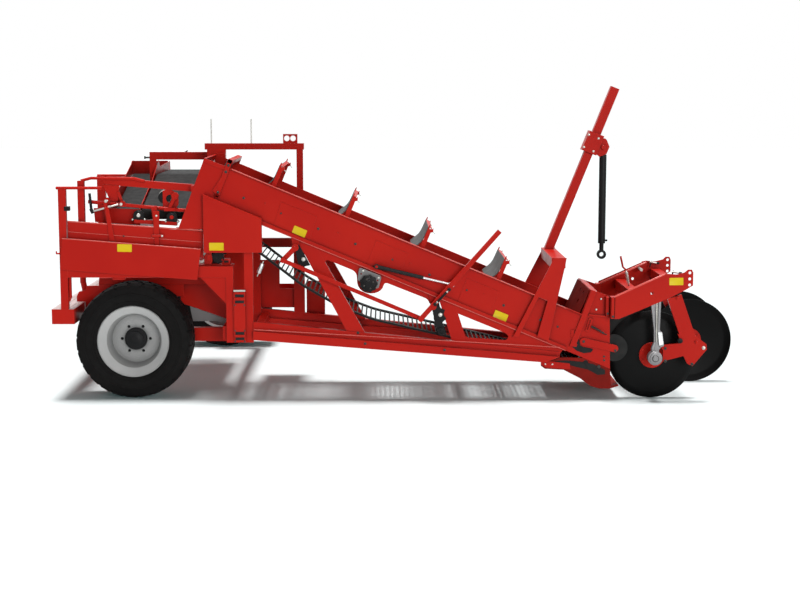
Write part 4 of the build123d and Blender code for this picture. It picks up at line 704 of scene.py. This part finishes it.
# ------------------------------------------------------------ control linkage details
# A short black turnbuckle on the lever sets its length. A bright screw runs into each end, with a
# locknut, and black eyes close it. A nut holds the bearing on the elevator's leg.
fit(rod("turnbuckle", (0.290, -1.672, 0.876), (0.366, -1.672, 0.956), 0.0095, 12, 0.002), black,
    body="control_lever")
ends = [rod("screw", (0.268, -1.672, 0.853), (0.388, -1.672, 0.979), 0.0045, 10),
        rod("locknut", (0.284, -1.672, 0.870), (0.290, -1.672, 0.876), 0.011, 6),
        rod("locknut", (0.366, -1.672, 0.956), (0.372, -1.672, 0.962), 0.011, 6)]
fit(joined("turnbuckle_screws", ends), zinc, body="control_lever")
eyes = [rod("eye", (x, -1.681, z), (x, -1.664, z), 0.014, 20, 0.002)
        for x, z in ((0.268, 0.853), (0.388, 0.979))]
fit(joined("turnbuckle_eyes", eyes), black, body="control_lever")
bolted("leg_bearing_nut", zinc, -1.561, [(-0.856, 1.228)], 0.013, 0.010)

# ------------------------------------------------------------ near disc leg and hub
# The near disc hangs from a cast leg with two ribs. Between them runs a bright depth spindle, and a
# turned two-step cap closes the hub.
LEG_WEB = ((2.112, 0.880), (2.203, 0.880), (2.196, 0.612), (2.214, 0.602), (2.232, 0.486), (2.196, 0.452),
           (2.196, 0.400), (2.128, 0.400), (2.128, 0.470), (2.150, 0.505), (2.148, 0.612))
LEG_RIBS = (
    ((2.112, 0.880), (2.138, 0.880), (2.160, 0.612), (2.160, 0.500), (2.150, 0.440), (2.130, 0.440),
     (2.130, 0.475), (2.148, 0.520), (2.146, 0.612)),
    ((2.180, 0.880), (2.203, 0.880), (2.196, 0.622), (2.218, 0.604), (2.236, 0.486), (2.200, 0.470),
     (2.192, 0.560), (2.176, 0.610)),
)
HUB_CAP = ((0.0, -1.6995), (0.020, -1.6995), (0.0225, -1.697), (0.023, -1.691), (0.030, -1.6905),
           (0.0445, -1.690), (0.0475, -1.687), (0.0480, -1.676), (0.0580, -1.675), (0.0615, -1.671),
           (0.0615, -1.604), (0.034, -1.600), (0.034, -1.455), (0.0, -1.455))
bright_steel = coat("bright_bracket", "cast_steel", (0.72, 0.72, 0.72), (0.62, 0.62, 0.62), (0.2, 0.32), 0.9,
                    edge=(0.9, 0.9, 0.9), shine=0.5)
leg = [plate("web", LEG_WEB, -1.634, -1.610, edge=0.003)]
leg += [plate("rib", outline, -1.650, -1.609, edge=0.004) for outline in LEG_RIBS]
leg.append(spun("hub_cap", HUB_CAP, (2.157, 0, 0.383), 48))
fit(joined("disc_leg", leg), cast, "disc_leg_near")
spindle = [rod("spindle", (2.166, -1.641, 0.875), (2.170, -1.641, 0.520), 0.0075, 16)]
thread = spun("thread", [(0.0070, -0.0016), (0.0095, 0.0), (0.0070, 0.0016)], (0, 0, 0), 16)
for i in range(24):
    height = 0.640 + i * 0.0095
    lie = Matrix.Translation((2.1663 + (0.875 - height) * 0.0113, -1.641, height))
    spindle.append(copied(thread, lie @ Matrix.Rotation(math.pi / 2, 4, "X")))
bpy.data.objects.remove(thread)
fit(joined("depth_spindle", spindle), zinc)
fit(plate("spindle_bracket", [(2.178, 0.606), (2.214, 0.606), (2.230, 0.500), (2.192, 0.490)], -1.655, -1.650,
          edge=0.0015), bright_steel)
fit(spun("cap_groove", [(0.0235, -1.6912), (0.0295, -1.6912), (0.0295, -1.6898), (0.0235, -1.6898)],
         (2.157, 0, 0.383), 40), dark_zinc)

# ------------------------------------------------------------ hitch arms
# Two welded arms carry the discs. Their hitch holes take pins, which are kept in the arms when not in
# use. Bolts hold the near disc's arm, and a black rubber sheet hangs inside the near disc as painted
# shade for the dark gap there.
ARM_FACE = -1.644
bolted("disc_arm_dark_bolts", dark_zinc, ARM_FACE, [(2.246, 0.465), (2.249, 0.355), (2.479, 0.327)], 0.010)
bolted("disc_arm_red_bolts", red, ARM_FACE, [(2.344, 0.900), (2.513, 0.519)], 0.015, 0.012)
bolted("disc_arm_pin", zinc, ARM_FACE, [(2.576, 0.468)], 0.012, 0.012)
pivot = [rod("pivot", (2.372, -1.657, 0.531), (2.372, -1.640, 0.531), 0.022, 24, 0.003),
         rod("pivot_pin", (2.372, -1.662, 0.531), (2.372, -1.650, 0.531), 0.010, 16, 0.002)]
fit(joined("disc_arm_pivot", pivot), black)
PIN_LONG = 0.086
pins, tips = [], []
for x, z, across in ((2.296, 1.122, -1.600), (2.272, 1.103, -0.640)):
    pins.append(rod("stored_pin", (x, across, z), (x + PIN_LONG * 0.72, across, z - 0.010), 0.0085))
    tips.append(rod("pin_tip", (x + PIN_LONG * 0.70, across, z - 0.0098), (x + PIN_LONG, across, z - 0.014),
                    0.0105, edge=0.003))
    tips.append(rod("pin_saddle", (x - 0.002, across, z - 0.050), (x + 0.012, across, z + 0.010), 0.006, 12))
fit(joined("stored_pins", pins), zinc)
fit(joined("stored_pin_tips", tips), black)
roots = [plate("root_rib", oblong(1.776, 0.724, 1.800, 0.905), -1.657, -1.650),
         plate("hinge_knuckle", oblong(1.738, 0.742, 1.766, 0.905), -1.600, -1.560, edge=0.004)]
fit(joined("arm_root_ribs", roots), red)
bolted("arm_root_bolts", dark_zinc, -1.657, [(1.790, 0.742), (1.752, 0.760, -1.600)], 0.008, 0.006)
# a black sheet whose black is painted shade between arm and disc
shade_filler = plate("painted_shade_plate", [(1.780, 0.500), (1.780, 0.862), (2.120, 0.862), (2.120, 0.700),
                                (1.980, 0.640), (1.880, 0.560)], -1.424, -1.416)
fit(shade_filler, belt_rubber)

# ------------------------------------------------------------ arm folds and bulkhead liner
# The arms' upper edges are folded over, and the fold is coated a paler red as a painted highlight.
# A sheet of dull dark red, its darkness painted shade, lines the bulkhead between the arms and has
# three drilled holes.
folds = [rod("arm_fold", (1.806, y, 0.914), (2.228, y, 1.106), 0.0085, 14, 0.002) for y in (-1.648, -0.694)]
fit(joined("arm_folds", folds), painted_highlight_red)
# its dark red finish is painted shade
wall = plate("bulkhead_liner", [(1.604, 0.955), (1.599, 0.957), (1.462, 0.640), (1.467, 0.638)],
             -1.540, -0.704)
for y, z in ((-1.30, 0.905), (-1.10, 0.905), (-1.22, 0.820)):
    drill(wall, (1.445 + (z - 0.60) * 0.42, y, z), 0.020, 0.06, (0, math.pi / 2, 0))
fit(wall, painted_shade_red)

# ------------------------------------------------------------ depth crank
# A red hand crank turns the depth spindle of the lead disc against a zinc-plated spring. It is bent
# from round bar.


def coil(name, start, end, radius, wire, turns):
    """A coil spring of round wire between two points."""
    clear_bench()
    line = Vector(end) - Vector(start)
    bpy.ops.mesh.primitive_circle_add(vertices=8, radius=wire, location=(radius, 0, 0),
                                      rotation=(math.pi / 2, 0, 0))
    spring = bpy.context.active_object
    spring.name = name
    bpy.ops.object.transform_apply()
    worked(spring, "SCREW", axis="Z", angle=math.tau * turns, screw_offset=line.length, steps=16 * turns,
           render_steps=16 * turns, use_smooth_shade=True)
    to_edit()
    face_out()
    turn = Vector((0, 0, 1)).rotation_difference(line).to_matrix().to_4x4()
    spring.data.transform(Matrix.Translation(start) @ turn)
    return spring


crank = [rod("crank_grip", (1.930, -1.10, 1.204), (1.952, -1.10, 1.110), 0.009, 16, 0.003),
         rod("crank_knee", (1.948, -1.10, 1.112), (1.984, -1.10, 1.078), 0.008, 14)]
fit(joined("depth_crank", crank), red)
shank = [rod("crank_shank", (1.982, -1.10, 1.080), (2.008, -1.10, 0.940), 0.006, 14)]
shank.append(coil("crank_spring", (1.985, -1.10, 1.063), (2.002, -1.10, 0.962), 0.012, 0.0028, 8))
fit(joined("depth_crank_spring", shank), zinc)

# ------------------------------------------------------------ intake details
# The gauge roller's arm is set by a sprung spindle and locked in a slotted plate. Black rubber
# wipers close the gap beside the web, and small bolts hold the bulkhead.
bolted("gauge_arm_bolts", dark_zinc, -1.565, [(1.554, 0.512), (1.829, 0.433)], 0.009)
spindle = [rod("gauge_spindle", (1.618, -1.574, 0.648), (1.752, -1.574, 0.571), 0.0050, 14),
           rod("spindle_nut", (1.622, -1.574, 0.646), (1.632, -1.574, 0.640), 0.011, 6),
           rod("spindle_nut", (1.712, -1.574, 0.594), (1.722, -1.574, 0.588), 0.011, 6)]
spindle.append(coil("gauge_spring", (1.634, -1.574, 0.639), (1.700, -1.574, 0.601), 0.009, 0.0024, 9))
fit(joined("gauge_spindle", spindle), dark_zinc)
WIPERS = (      # outline, face and back across the machine
    (((1.461, 0.461), (1.488, 0.520), (1.512, 0.532), (1.526, 0.480), (1.556, 0.462), (1.618, 0.452),
      (1.640, 0.440), (1.622, 0.416), (1.560, 0.408), (1.500, 0.428)), -1.5500, -1.5468),
    (((1.560, 0.332), (1.645, 0.311), (1.746, 0.262), (1.747, 0.221), (1.683, 0.216), (1.600, 0.262)),
     -1.5440, -1.5405),
    (((1.300, 0.340), (1.420, 0.345), (1.560, 0.330), (1.600, 0.262), (1.500, 0.285), (1.380, 0.320)),
     -1.5430, -1.5405))
wipers = [plate("wiper", *wiper, edge=0.001) for wiper in WIPERS]
fit(joined("intake_wipers", wipers), belt_rubber)
hook = plate("belt_hook", [(1.444, 0.612), (1.470, 0.612), (1.482, 0.500), (1.502, 0.486), (1.494, 0.464),
                           (1.452, 0.470)], -1.5560, -1.5468)
fit(hook, red)
bolted("intake_small_bolts", dark_zinc, -1.547,
       [(1.735, 0.378), (1.736, 0.346), (1.462, 0.560), (1.180, 0.560), (1.330, 0.640)], 0.007, 0.005)
fit(spun("share_pin", [(0.0, -1.553), (0.012, -1.553), (0.014, -1.551), (0.0145, -1.541), (0.0, -1.541)],
         (1.691, 0, 0.289), 24), dark_zinc)
bolted("bulkhead_bolts", zinc, -1.563, [(1.699, 0.883), (1.659, 0.791)], 0.006, 0.004)

# ------------------------------------------------------------ picking table details
# The table's belt runs on a drum in black pillow bearings, one with a zinc-plated cap and one with a
# red one. A bent steel crank with a black grip tightens the belt.
BEARINGS = ((-2.268, 1.600, "zinc"), (-1.985, 1.583, "red"))
houses, bosses = [], {"zinc": [], "red": []}
for x, z, boss in BEARINGS:
    arch = [(x - 0.062, z - 0.046), (x + 0.062, z - 0.046), (x + 0.062, z - 0.030), (x + 0.046, z - 0.022)]
    arch += [(x + 0.046 * math.cos(a), z + 0.046 * math.sin(a))
             for a in [math.pi * i / 10 for i in range(11)]]
    arch += [(x - 0.046, z - 0.022), (x - 0.062, z - 0.030)]
    houses.append(plate("house", arch, -1.486, -1.452, edge=0.004))
    houses.append(spun("lip", [(0.022, -1.494), (0.032, -1.493), (0.036, -1.488), (0.036, -1.480),
                               (0.022, -1.480)], (x, 0, z), 32))
    bosses[boss].append(spun("boss", [(0.0, -1.497), (0.014, -1.497), (0.017, -1.494), (0.018, -1.480),
                                      (0.0, -1.480)], (x, 0, z), 28))
fit(joined("pillow_bearings", houses), black, "table_bearings")
fit(joined("bearing_boss_zinc", bosses["zinc"]), zinc)
fit(joined("bearing_boss_red", bosses["red"]), red)
feet = [(x + side * 0.052, z - 0.036) for x, z, boss in BEARINGS for side in (-1, 1)]
bolted("bearing_bolts", zinc, -1.486, feet, 0.006, 0.006)
fit(rod("crank_rod", (-2.664, -1.500, 1.633), (-2.436, -1.500, 1.695), 0.0085, 18), zinc)
grip = [rod("crank_grip", (-2.680, -1.500, 1.790), (-2.668, -1.500, 1.652), 0.0115, 18, 0.004),
        rod("crank_elbow", (-2.673, -1.500, 1.660), (-2.654, -1.500, 1.618), 0.015, 18, 0.005)]
fit(joined("crank_grip", grip), black)
flange = [(0.040, -1.356), (0.058, -1.356), (0.062, -1.352), (0.062, -1.346), (0.040, -1.346)]
fit(spun("drum_flange", flange, (-2.052, 0, 1.750), 40), zinc)
fit(spun("drum_boss", [(0.0, -1.4345), (0.014, -1.4345), (0.016, -1.432), (0.024, -1.431), (0.027, -1.428),
                       (0.027, -1.420), (0.0, -1.420)], (-1.966, 0, 1.758), 28), black)
bolted("table_pivot_bolts", zinc, -1.541, [(-2.536, 1.725), (-2.407, 1.698)], 0.010, 0.007)
bolted("panel_bolts", dark_zinc, -1.5205, [(-2.393, 1.425), (-2.147, 1.430)], 0.006, 0.004)

# ------------------------------------------------------------ height slider
# The elevator's rear posts slide in a bolted guide, a red plate with pairs of slots at its top and
# foot, drawn as thin black plates whose black is painted shade. A zinc-plated wear strip lies over them.
guide = plate("guide_plate", oblong(-1.456, 0.512, -1.358, 0.948), -1.5690, -1.5610, edge=0.003)
ribs = [plate("guide_rib", oblong(-1.452, z, -1.362, z + 0.020), -1.577, -1.569, edge=0.003)
        for z in (0.928, 0.882, 0.556)]
fit(joined("slider_guide", [guide] + ribs), red)
# the slots' black is painted shade
slots = [plate("slot", oblong(-1.446, z, -1.368, z + 0.024), -1.5705, -1.5685, edge=0.0006)
         for z in (0.904, 0.850, 0.578, 0.530)]
fit(joined("slider_slot_shades", slots), belt_rubber)
fit(plate("slider_wear_strip", oblong(-1.458, 0.950, -1.356, 0.966), -1.575, -1.555, edge=0.002), zinc)
guide_bolts = [(x, z) for x in (-1.448, -1.366) for z in (0.834, 0.612, 0.520)]
bolted("slider_bolts", dark_zinc, -1.569, guide_bolts, 0.0055, 0.004)

# ------------------------------------------------------------ spill sheets and bracing
# Red sheets under the table catch what falls between the belts. A bare steel chute lies below them,
# and a bright prop with a thin rod holds the head.
sheets = [plate("spill_sheet", [(-1.985, 1.095), (-1.600, 1.095), (-1.560, 1.262), (-1.345, 1.262),
                                (-1.345, 0.840), (-1.540, 0.640), (-1.600, 0.640), (-1.680, 0.672),
                                (-1.905, 0.752), (-1.985, 0.775)], -1.004, -0.998),
          plate("table_rail", oblong(-2.700, 0.952, -1.760, 1.012), -1.060, -1.020, edge=0.004),
          plate("table_bracket", oblong(-2.502, 1.045, -2.392, 1.095), -1.500, -1.450, edge=0.003)]
fit(joined("spill_sheets", sheets), red)
fit(plate("steel_chute", [(-1.905, 0.748), (-1.680, 0.668), (-1.600, 0.636), (-1.600, 0.612),
                          (-1.880, 0.612)], -0.998, -0.992), grey_plate)
fit(rod("head_prop", (-1.214, -1.470, 1.183), (-1.250, -1.470, 1.099), 0.019, 24, 0.005),
    (bright_steel[0], "zinc"))
fit(rod("head_prop_rod", (-1.206, -1.470, 1.202), (-1.262, -1.470, 1.071), 0.006, 14), zinc)

# ------------------------------------------------------------ boarding deck and rail fittings
# The boarding deck is a pressed tread plate whose raised bars are worn bright. A black clamp and
# small hooks on the rail hold its chain, and round tubes and a cut sheet stand beside the deck.
DECK_HIGH = 0.795
tread = [soften(cube_at("deck_plate", (-3.019, -1.535, DECK_HIGH - 0.002),
                        (-2.834, 0.614, DECK_HIGH + 0.002)), 0.001, 1)]
bar = cube_at("tread_bar", (-3.004, -1.520, DECK_HIGH + 0.0015), (-2.974, -1.514, DECK_HIGH + 0.0045))
soften(bar, 0.0012, 1)
for row in range(50):
    for column in range(5):
        lean = turned_about((-2.989, -1.517, 0), math.radians(45 if column % 2 else -45), "Z")
        tread.append(copied(bar, Matrix.Translation((0.034 * column, 0.0425 * row, 0)) @ lean))
bpy.data.objects.remove(bar)
worn_plate = coat("worn_tread_plate", "cast_steel", (0.62, 0.50, 0.48), (0.54, 0.40, 0.38), (0.3, 0.5), 0.2,
                  edge=(0.8, 0.78, 0.77), shine=0.5)
fit(joined("deck_tread", tread), worn_plate)
fit(soften(cube_at("rail_clamp", (-2.893, -1.546, 1.642), (-2.846, -1.496, 1.680)), 0.003, 1), black)
hooks = [rod("rail_hook", (-2.972, -1.530, 1.276), (-2.915, -1.530, 1.276), 0.007, 14),
         rod("rail_hook_tip", (-2.970, -1.530, 1.276), (-2.970, -1.530, 1.296), 0.006, 14)]
fit(joined("rail_hooks", hooks), red)
deck_side = [plate("step_sheet", [(-2.902, 0.797), (-2.902, 0.846), (-2.882, 0.887), (-2.819, 0.899),
                                  (-2.816, 0.939), (-2.706, 0.941), (-2.700, 1.000), (-1.950, 1.000),
                                  (-1.950, 0.845), (-2.206, 0.845), (-2.400, 0.700), (-2.826, 0.700),
                                  (-2.826, 0.797)], -1.052, -1.046)]
deck_side += [rod("loop_tube", (-2.868, -1.500, 1.170), (-2.868, -1.500, 0.892), 0.016, 18),
              rod("loop_foot", (-2.869, -1.500, 0.900), (-2.884, -1.500, 0.862), 0.016, 18, 0.006),
              rod("far_tube", (-2.950, -0.500, 1.170), (-2.950, -0.500, 0.900), 0.028, 20),
              rod("far_foot", (-2.950, -0.500, 0.915), (-2.928, -0.500, 0.800), 0.027, 20, 0.008)]
fit(joined("deck_loops", deck_side), red)

# ------------------------------------------------------------ mast clamp
# The lift cylinder hangs from a clamp of two plates, drawn together round the mast by four bolts. Its
# pin is red, and an ear of plate carries it.
bolted("mast_clamp_bolts", zinc, -0.860, [(1.664, 2.270), (1.750, 2.236), (1.620, 2.160), (1.706, 2.122)],
       0.0075, 0.006)
fit(plate("clamp_ear", [(1.740, 2.240), (1.812, 2.236), (1.826, 2.223), (1.852, 2.161), (1.826, 2.097),
                        (1.760, 2.073), (1.732, 2.097)], -0.850, -0.840, edge=0.002), red)
fit(spun("clamp_pin", [(0.0, -0.870), (0.018, -0.870), (0.021, -0.867), (0.022, -0.858), (0.0, -0.858)],
         (1.796, 0, 2.156), 28), red)

# ------------------------------------------------------------ edge of the web's opening
# Below the skirt the side sheet reaches down to a cut edge with rounded corners, and swells round the
# motor. It is the same red sheet, welded on behind the skirt.
OPENING = ((-0.760, 1.344), (0.240, 0.927), (0.250, 0.840), (0.222, 0.845), (0.216, 0.862), (0.206, 0.877),
           (0.190, 0.8885), (0.180, 0.8930), (-0.140, 1.0200), (-0.155, 1.0200), (-0.166, 1.0120),
           (-0.172, 0.9980), (-0.178, 0.9800), (-0.196, 0.9580), (-0.222, 0.9420), (-0.252, 0.9330),
           (-0.285, 0.9310), (-0.318, 0.9360), (-0.348, 0.9480), (-0.372, 0.9680), (-0.390, 0.9940),
           (-0.398, 1.0250), (-0.400, 1.0600), (-0.402, 1.0900), (-0.410, 1.1080), (-0.422, 1.1220),
           (-0.440, 1.1340), (-0.640, 1.2170), (-0.658, 1.2200), (-0.668, 1.2120), (-0.672, 1.1980),
           (-0.700, 1.2000), (-0.760, 1.3000))
FRONT_OPENING = ((0.400, 0.858), (1.385, 0.447), (1.350, 0.400), (0.540, 0.470), (0.537, 0.565),
                 (0.545, 0.552), (0.565, 0.545), (0.859, 0.525), (0.880, 0.524), (0.897, 0.533),
                 (0.905, 0.550), (0.899, 0.568), (0.880, 0.583), (0.854, 0.597), (0.476, 0.752),
                 (0.452, 0.760), (0.430, 0.757), (0.400, 0.790))
edges = [plate("opening_edge", outline, -1.5468, -1.5415, edge=0.0012)
         for outline in (OPENING, FRONT_OPENING)]
edges.append(plate("share_bracket", [(1.184, 0.347), (1.439, 0.318), (1.445, 0.268), (1.245, 0.281),
                                     (1.191, 0.308)], -1.5520, -1.5460, edge=0.001))
fit(joined("web_opening_edges", edges), red)
bolted("share_bracket_bolts", zinc, -1.552, [(1.227, 0.314), (1.288, 0.312)], 0.006, 0.003)
rail_bolts = [(0.353, 0.444), (-0.330, 0.500), (-0.392, 0.590, -1.553)]
bolted("rail_bolts", dark_zinc, -1.581, rail_bolts, 0.009, 0.006)

# ------------------------------------------------------------ bright folds
# The rail's flange, the table's side and its panel end in narrow folded lips, coated a paler red as a
# painted highlight where they catch the light. A filler sheet, two stays and a foot close the table's side
# to the head guard, and steel hooks reach up to the cross conveyor.
LIPS = (        # rear and front end of the upper edge, how tall, face and back across the machine, bevel
    (-1.288, 0.627, 1.350, 0.469, 0.0070, -1.5840, -1.5795, 0.0015),        # rail
    (-1.455, 1.9993, 1.400, 0.8079, 0.0069, -1.5838, -1.5805, 0.0012),      # elevator side's top
    (-1.206, 1.5264, 1.398, 0.4397, 0.0070, -1.5705, -1.5665, 0.0012),      # skirt
    (-2.869, 1.558, -1.715, 1.478, 0.0110, -1.5270, -1.5195, 0.0015),       # table side's top
    (-2.866, 1.465, -1.735, 1.376, 0.0050, -1.5225, -1.5195, 0.0010),       # table side's fold
    (-2.912, 1.413, -1.733, 1.320, 0.0070, -1.5710, -1.5655, 0.0012))       # panel
lips = [plate("lip", [(x0, z0), (x1, z1), (x1, z1 - tall), (x0, z0 - tall)], face, back, edge=edge)
        for x0, z0, x1, z1, tall, face, back, edge in LIPS]
fit(joined("fold_lips", lips), painted_highlight_red)
stays = [plate("guard_filler", [(-1.945, 1.500), (-1.705, 1.500), (-1.705, 1.440), (-1.945, 1.460)],
               -1.5138, -1.5100),
         plate("table_stay", [(-2.140, 1.640), (-2.085, 1.640), (-2.090, 1.345), (-2.130, 1.345)],
               -1.5310, -1.5250, edge=0.002),
         plate("table_stay", [(-2.546, 1.674), (-2.517, 1.674), (-2.468, 1.383), (-2.517, 1.383)],
               -1.5310, -1.5250, edge=0.002),
         soften(cube_at("stay_foot", (-2.150, -1.545, 1.418), (-2.050, -1.525, 1.438)), 0.003, 1)]
fit(joined("table_stays", stays), red)
bolted("table_stay_bolts", zinc, -1.545, [(-2.062, 1.428), (-2.110, 1.600, -1.531)], 0.007, 0.005)
hooks = [rod("belt_tensioner", (-2.505, 0.430, 2.016), (-2.440, 0.430, 2.016), 0.009, 14),
         rod("tensioner_nut", (-2.505, 0.430, 2.016), (-2.492, 0.430, 2.016), 0.016, 6),
         rod("wire_hook", (-2.180, 0.430, 2.030), (-2.080, 0.430, 2.083), 0.006, 10)]
fit(joined("conveyor_hooks", hooks), dark_zinc)

# ------------------------------------------------------------ far side bolts
# The far side carries the same row of bolts for the belt's slide rails, and the same rivets. Both
# stand out the other way.
FAR_FACE = -0.663
bolted("far_side_bolts", dark_zinc, FAR_FACE, SIDE_BOLTS, 0.0085, 0.006, (0, 1, 0))
bolted("far_side_rivets", red, FAR_FACE, LAP_RIVETS, 0.006, 0.003, (0, 1, 0))

# ------------------------------------------------------------ idler wheel and its bracket
# The returning web runs over a small flanged idler. A pressed black bracket with a zinc-plated nut
# adjusts its height.
IDLER = ((0.0, -1.560), (0.009, -1.560), (0.011, -1.556), (0.019, -1.555), (0.021, -1.560), (0.033, -1.560),
         (0.036, -1.556), (0.036, -1.549), (0.0, -1.549))
STAR = ((0.259, 0.800), (0.304, 0.833), (0.322, 0.803), (0.356, 0.788), (0.344, 0.748), (0.368, 0.711),
        (0.334, 0.678), (0.305, 0.711), (0.270, 0.703), (0.252, 0.755))
idler = [spun("wheel", IDLER, (0.326, 0, 0.603), 36), plate("star", STAR, -1.5540, -1.5480, edge=0.003)]
fit(joined("idler_bracket", idler), black)
bolted("idler_nut", zinc, -1.5540, [(0.317, 0.746)], 0.013, 0.010)

# ------------------------------------------------------------ studio: camera, floor, lamps, world
# A pale seamless floor, a strong sun overhead, a very soft one and a low one from the front. The
# floor is lifted a little towards white for the camera alone, so that it keeps the shadow.
FLOOR_COLOUR, FLOOR_TINT, FLOOR_LIFT = (0.725, 0.765, 0.765, 1), (0.45, 1, 1, 1), 0.030
SKY_FILL = 0.06
LAMPS = (       # name, strength, angle it spans, tilt, both in degrees
    ("overhead", 3.7, 14.0, (-2, -2, 0)),
    ("softbox", 0.45, 85.0, (0, 0, 0)),
    ("key", 1.28, 22.0, (79, 0, 20)),
)
LENS, SENSOR = 69.75, 36.0              # millimetres
EYE = (-0.157, -14.757, 2.63)
LOOK_DOWN, LOOK_RIGHT = 7.571, 0.55     # degrees from level, and from square to the machine
camera_data = bpy.data.cameras.new("camera")
camera_data.lens = LENS
camera_data.sensor_width = SENSOR
camera = bpy.data.objects.new("camera", camera_data)
camera.location = EYE
camera.rotation_euler = (math.radians(90 - LOOK_DOWN), 0.0, math.radians(-LOOK_RIGHT))
bpy.context.collection.objects.link(camera)
bpy.context.scene.camera = camera

bpy.ops.mesh.primitive_plane_add(size=120.0, location=(0, 0, 0))
floor = bpy.context.active_object
floor.name = "floor"
paper, tree, shader, place = new_finish("floor_paper")
seen = add_node(tree, "LightPath", {}).outputs["Is Camera Ray"]
lift = add_node(tree, "Math", {0: seen, 1: FLOOR_LIFT}, operation="MULTIPLY").outputs[0]
feed(tree, shader, {"Base Color": FLOOR_COLOUR, "Roughness": 0.9, "Specular IOR Level": 0.0,
                    "Emission Color": FLOOR_TINT, "Emission Strength": lift})
floor.data.materials.append(paper)

for name, strength, span, tilt in LAMPS:
    lamp_data = bpy.data.lights.new(name, "SUN")
    lamp_data.energy = strength
    lamp_data.angle = math.radians(span)
    lamp = bpy.data.objects.new(name, lamp_data)
    lamp.rotation_euler = [math.radians(angle) for angle in tilt]
    bpy.context.collection.objects.link(lamp)

world = bpy.data.worlds.new("studio")
world.use_nodes = True
bpy.context.scene.world = world
tree = world.node_tree
rays = add_node(tree, "LightPath", {}).outputs
shown = rays["Is Camera Ray"]
for ray in ("Is Glossy Ray", "Is Transmission Ray"):
    shown = add_node(tree, "Math", {0: shown, 1: rays[ray]}, operation="MAXIMUM").outputs[0]
level = add_node(tree, "MapRange", {"To Min": SKY_FILL, "To Max": 1.0, "Value": shown}).outputs["Result"]
feed(tree, tree.nodes["Background"], {"Color": (1, 1, 1, 1), "Strength": level})
bpy.context.scene.view_settings.view_transform = "Standard"
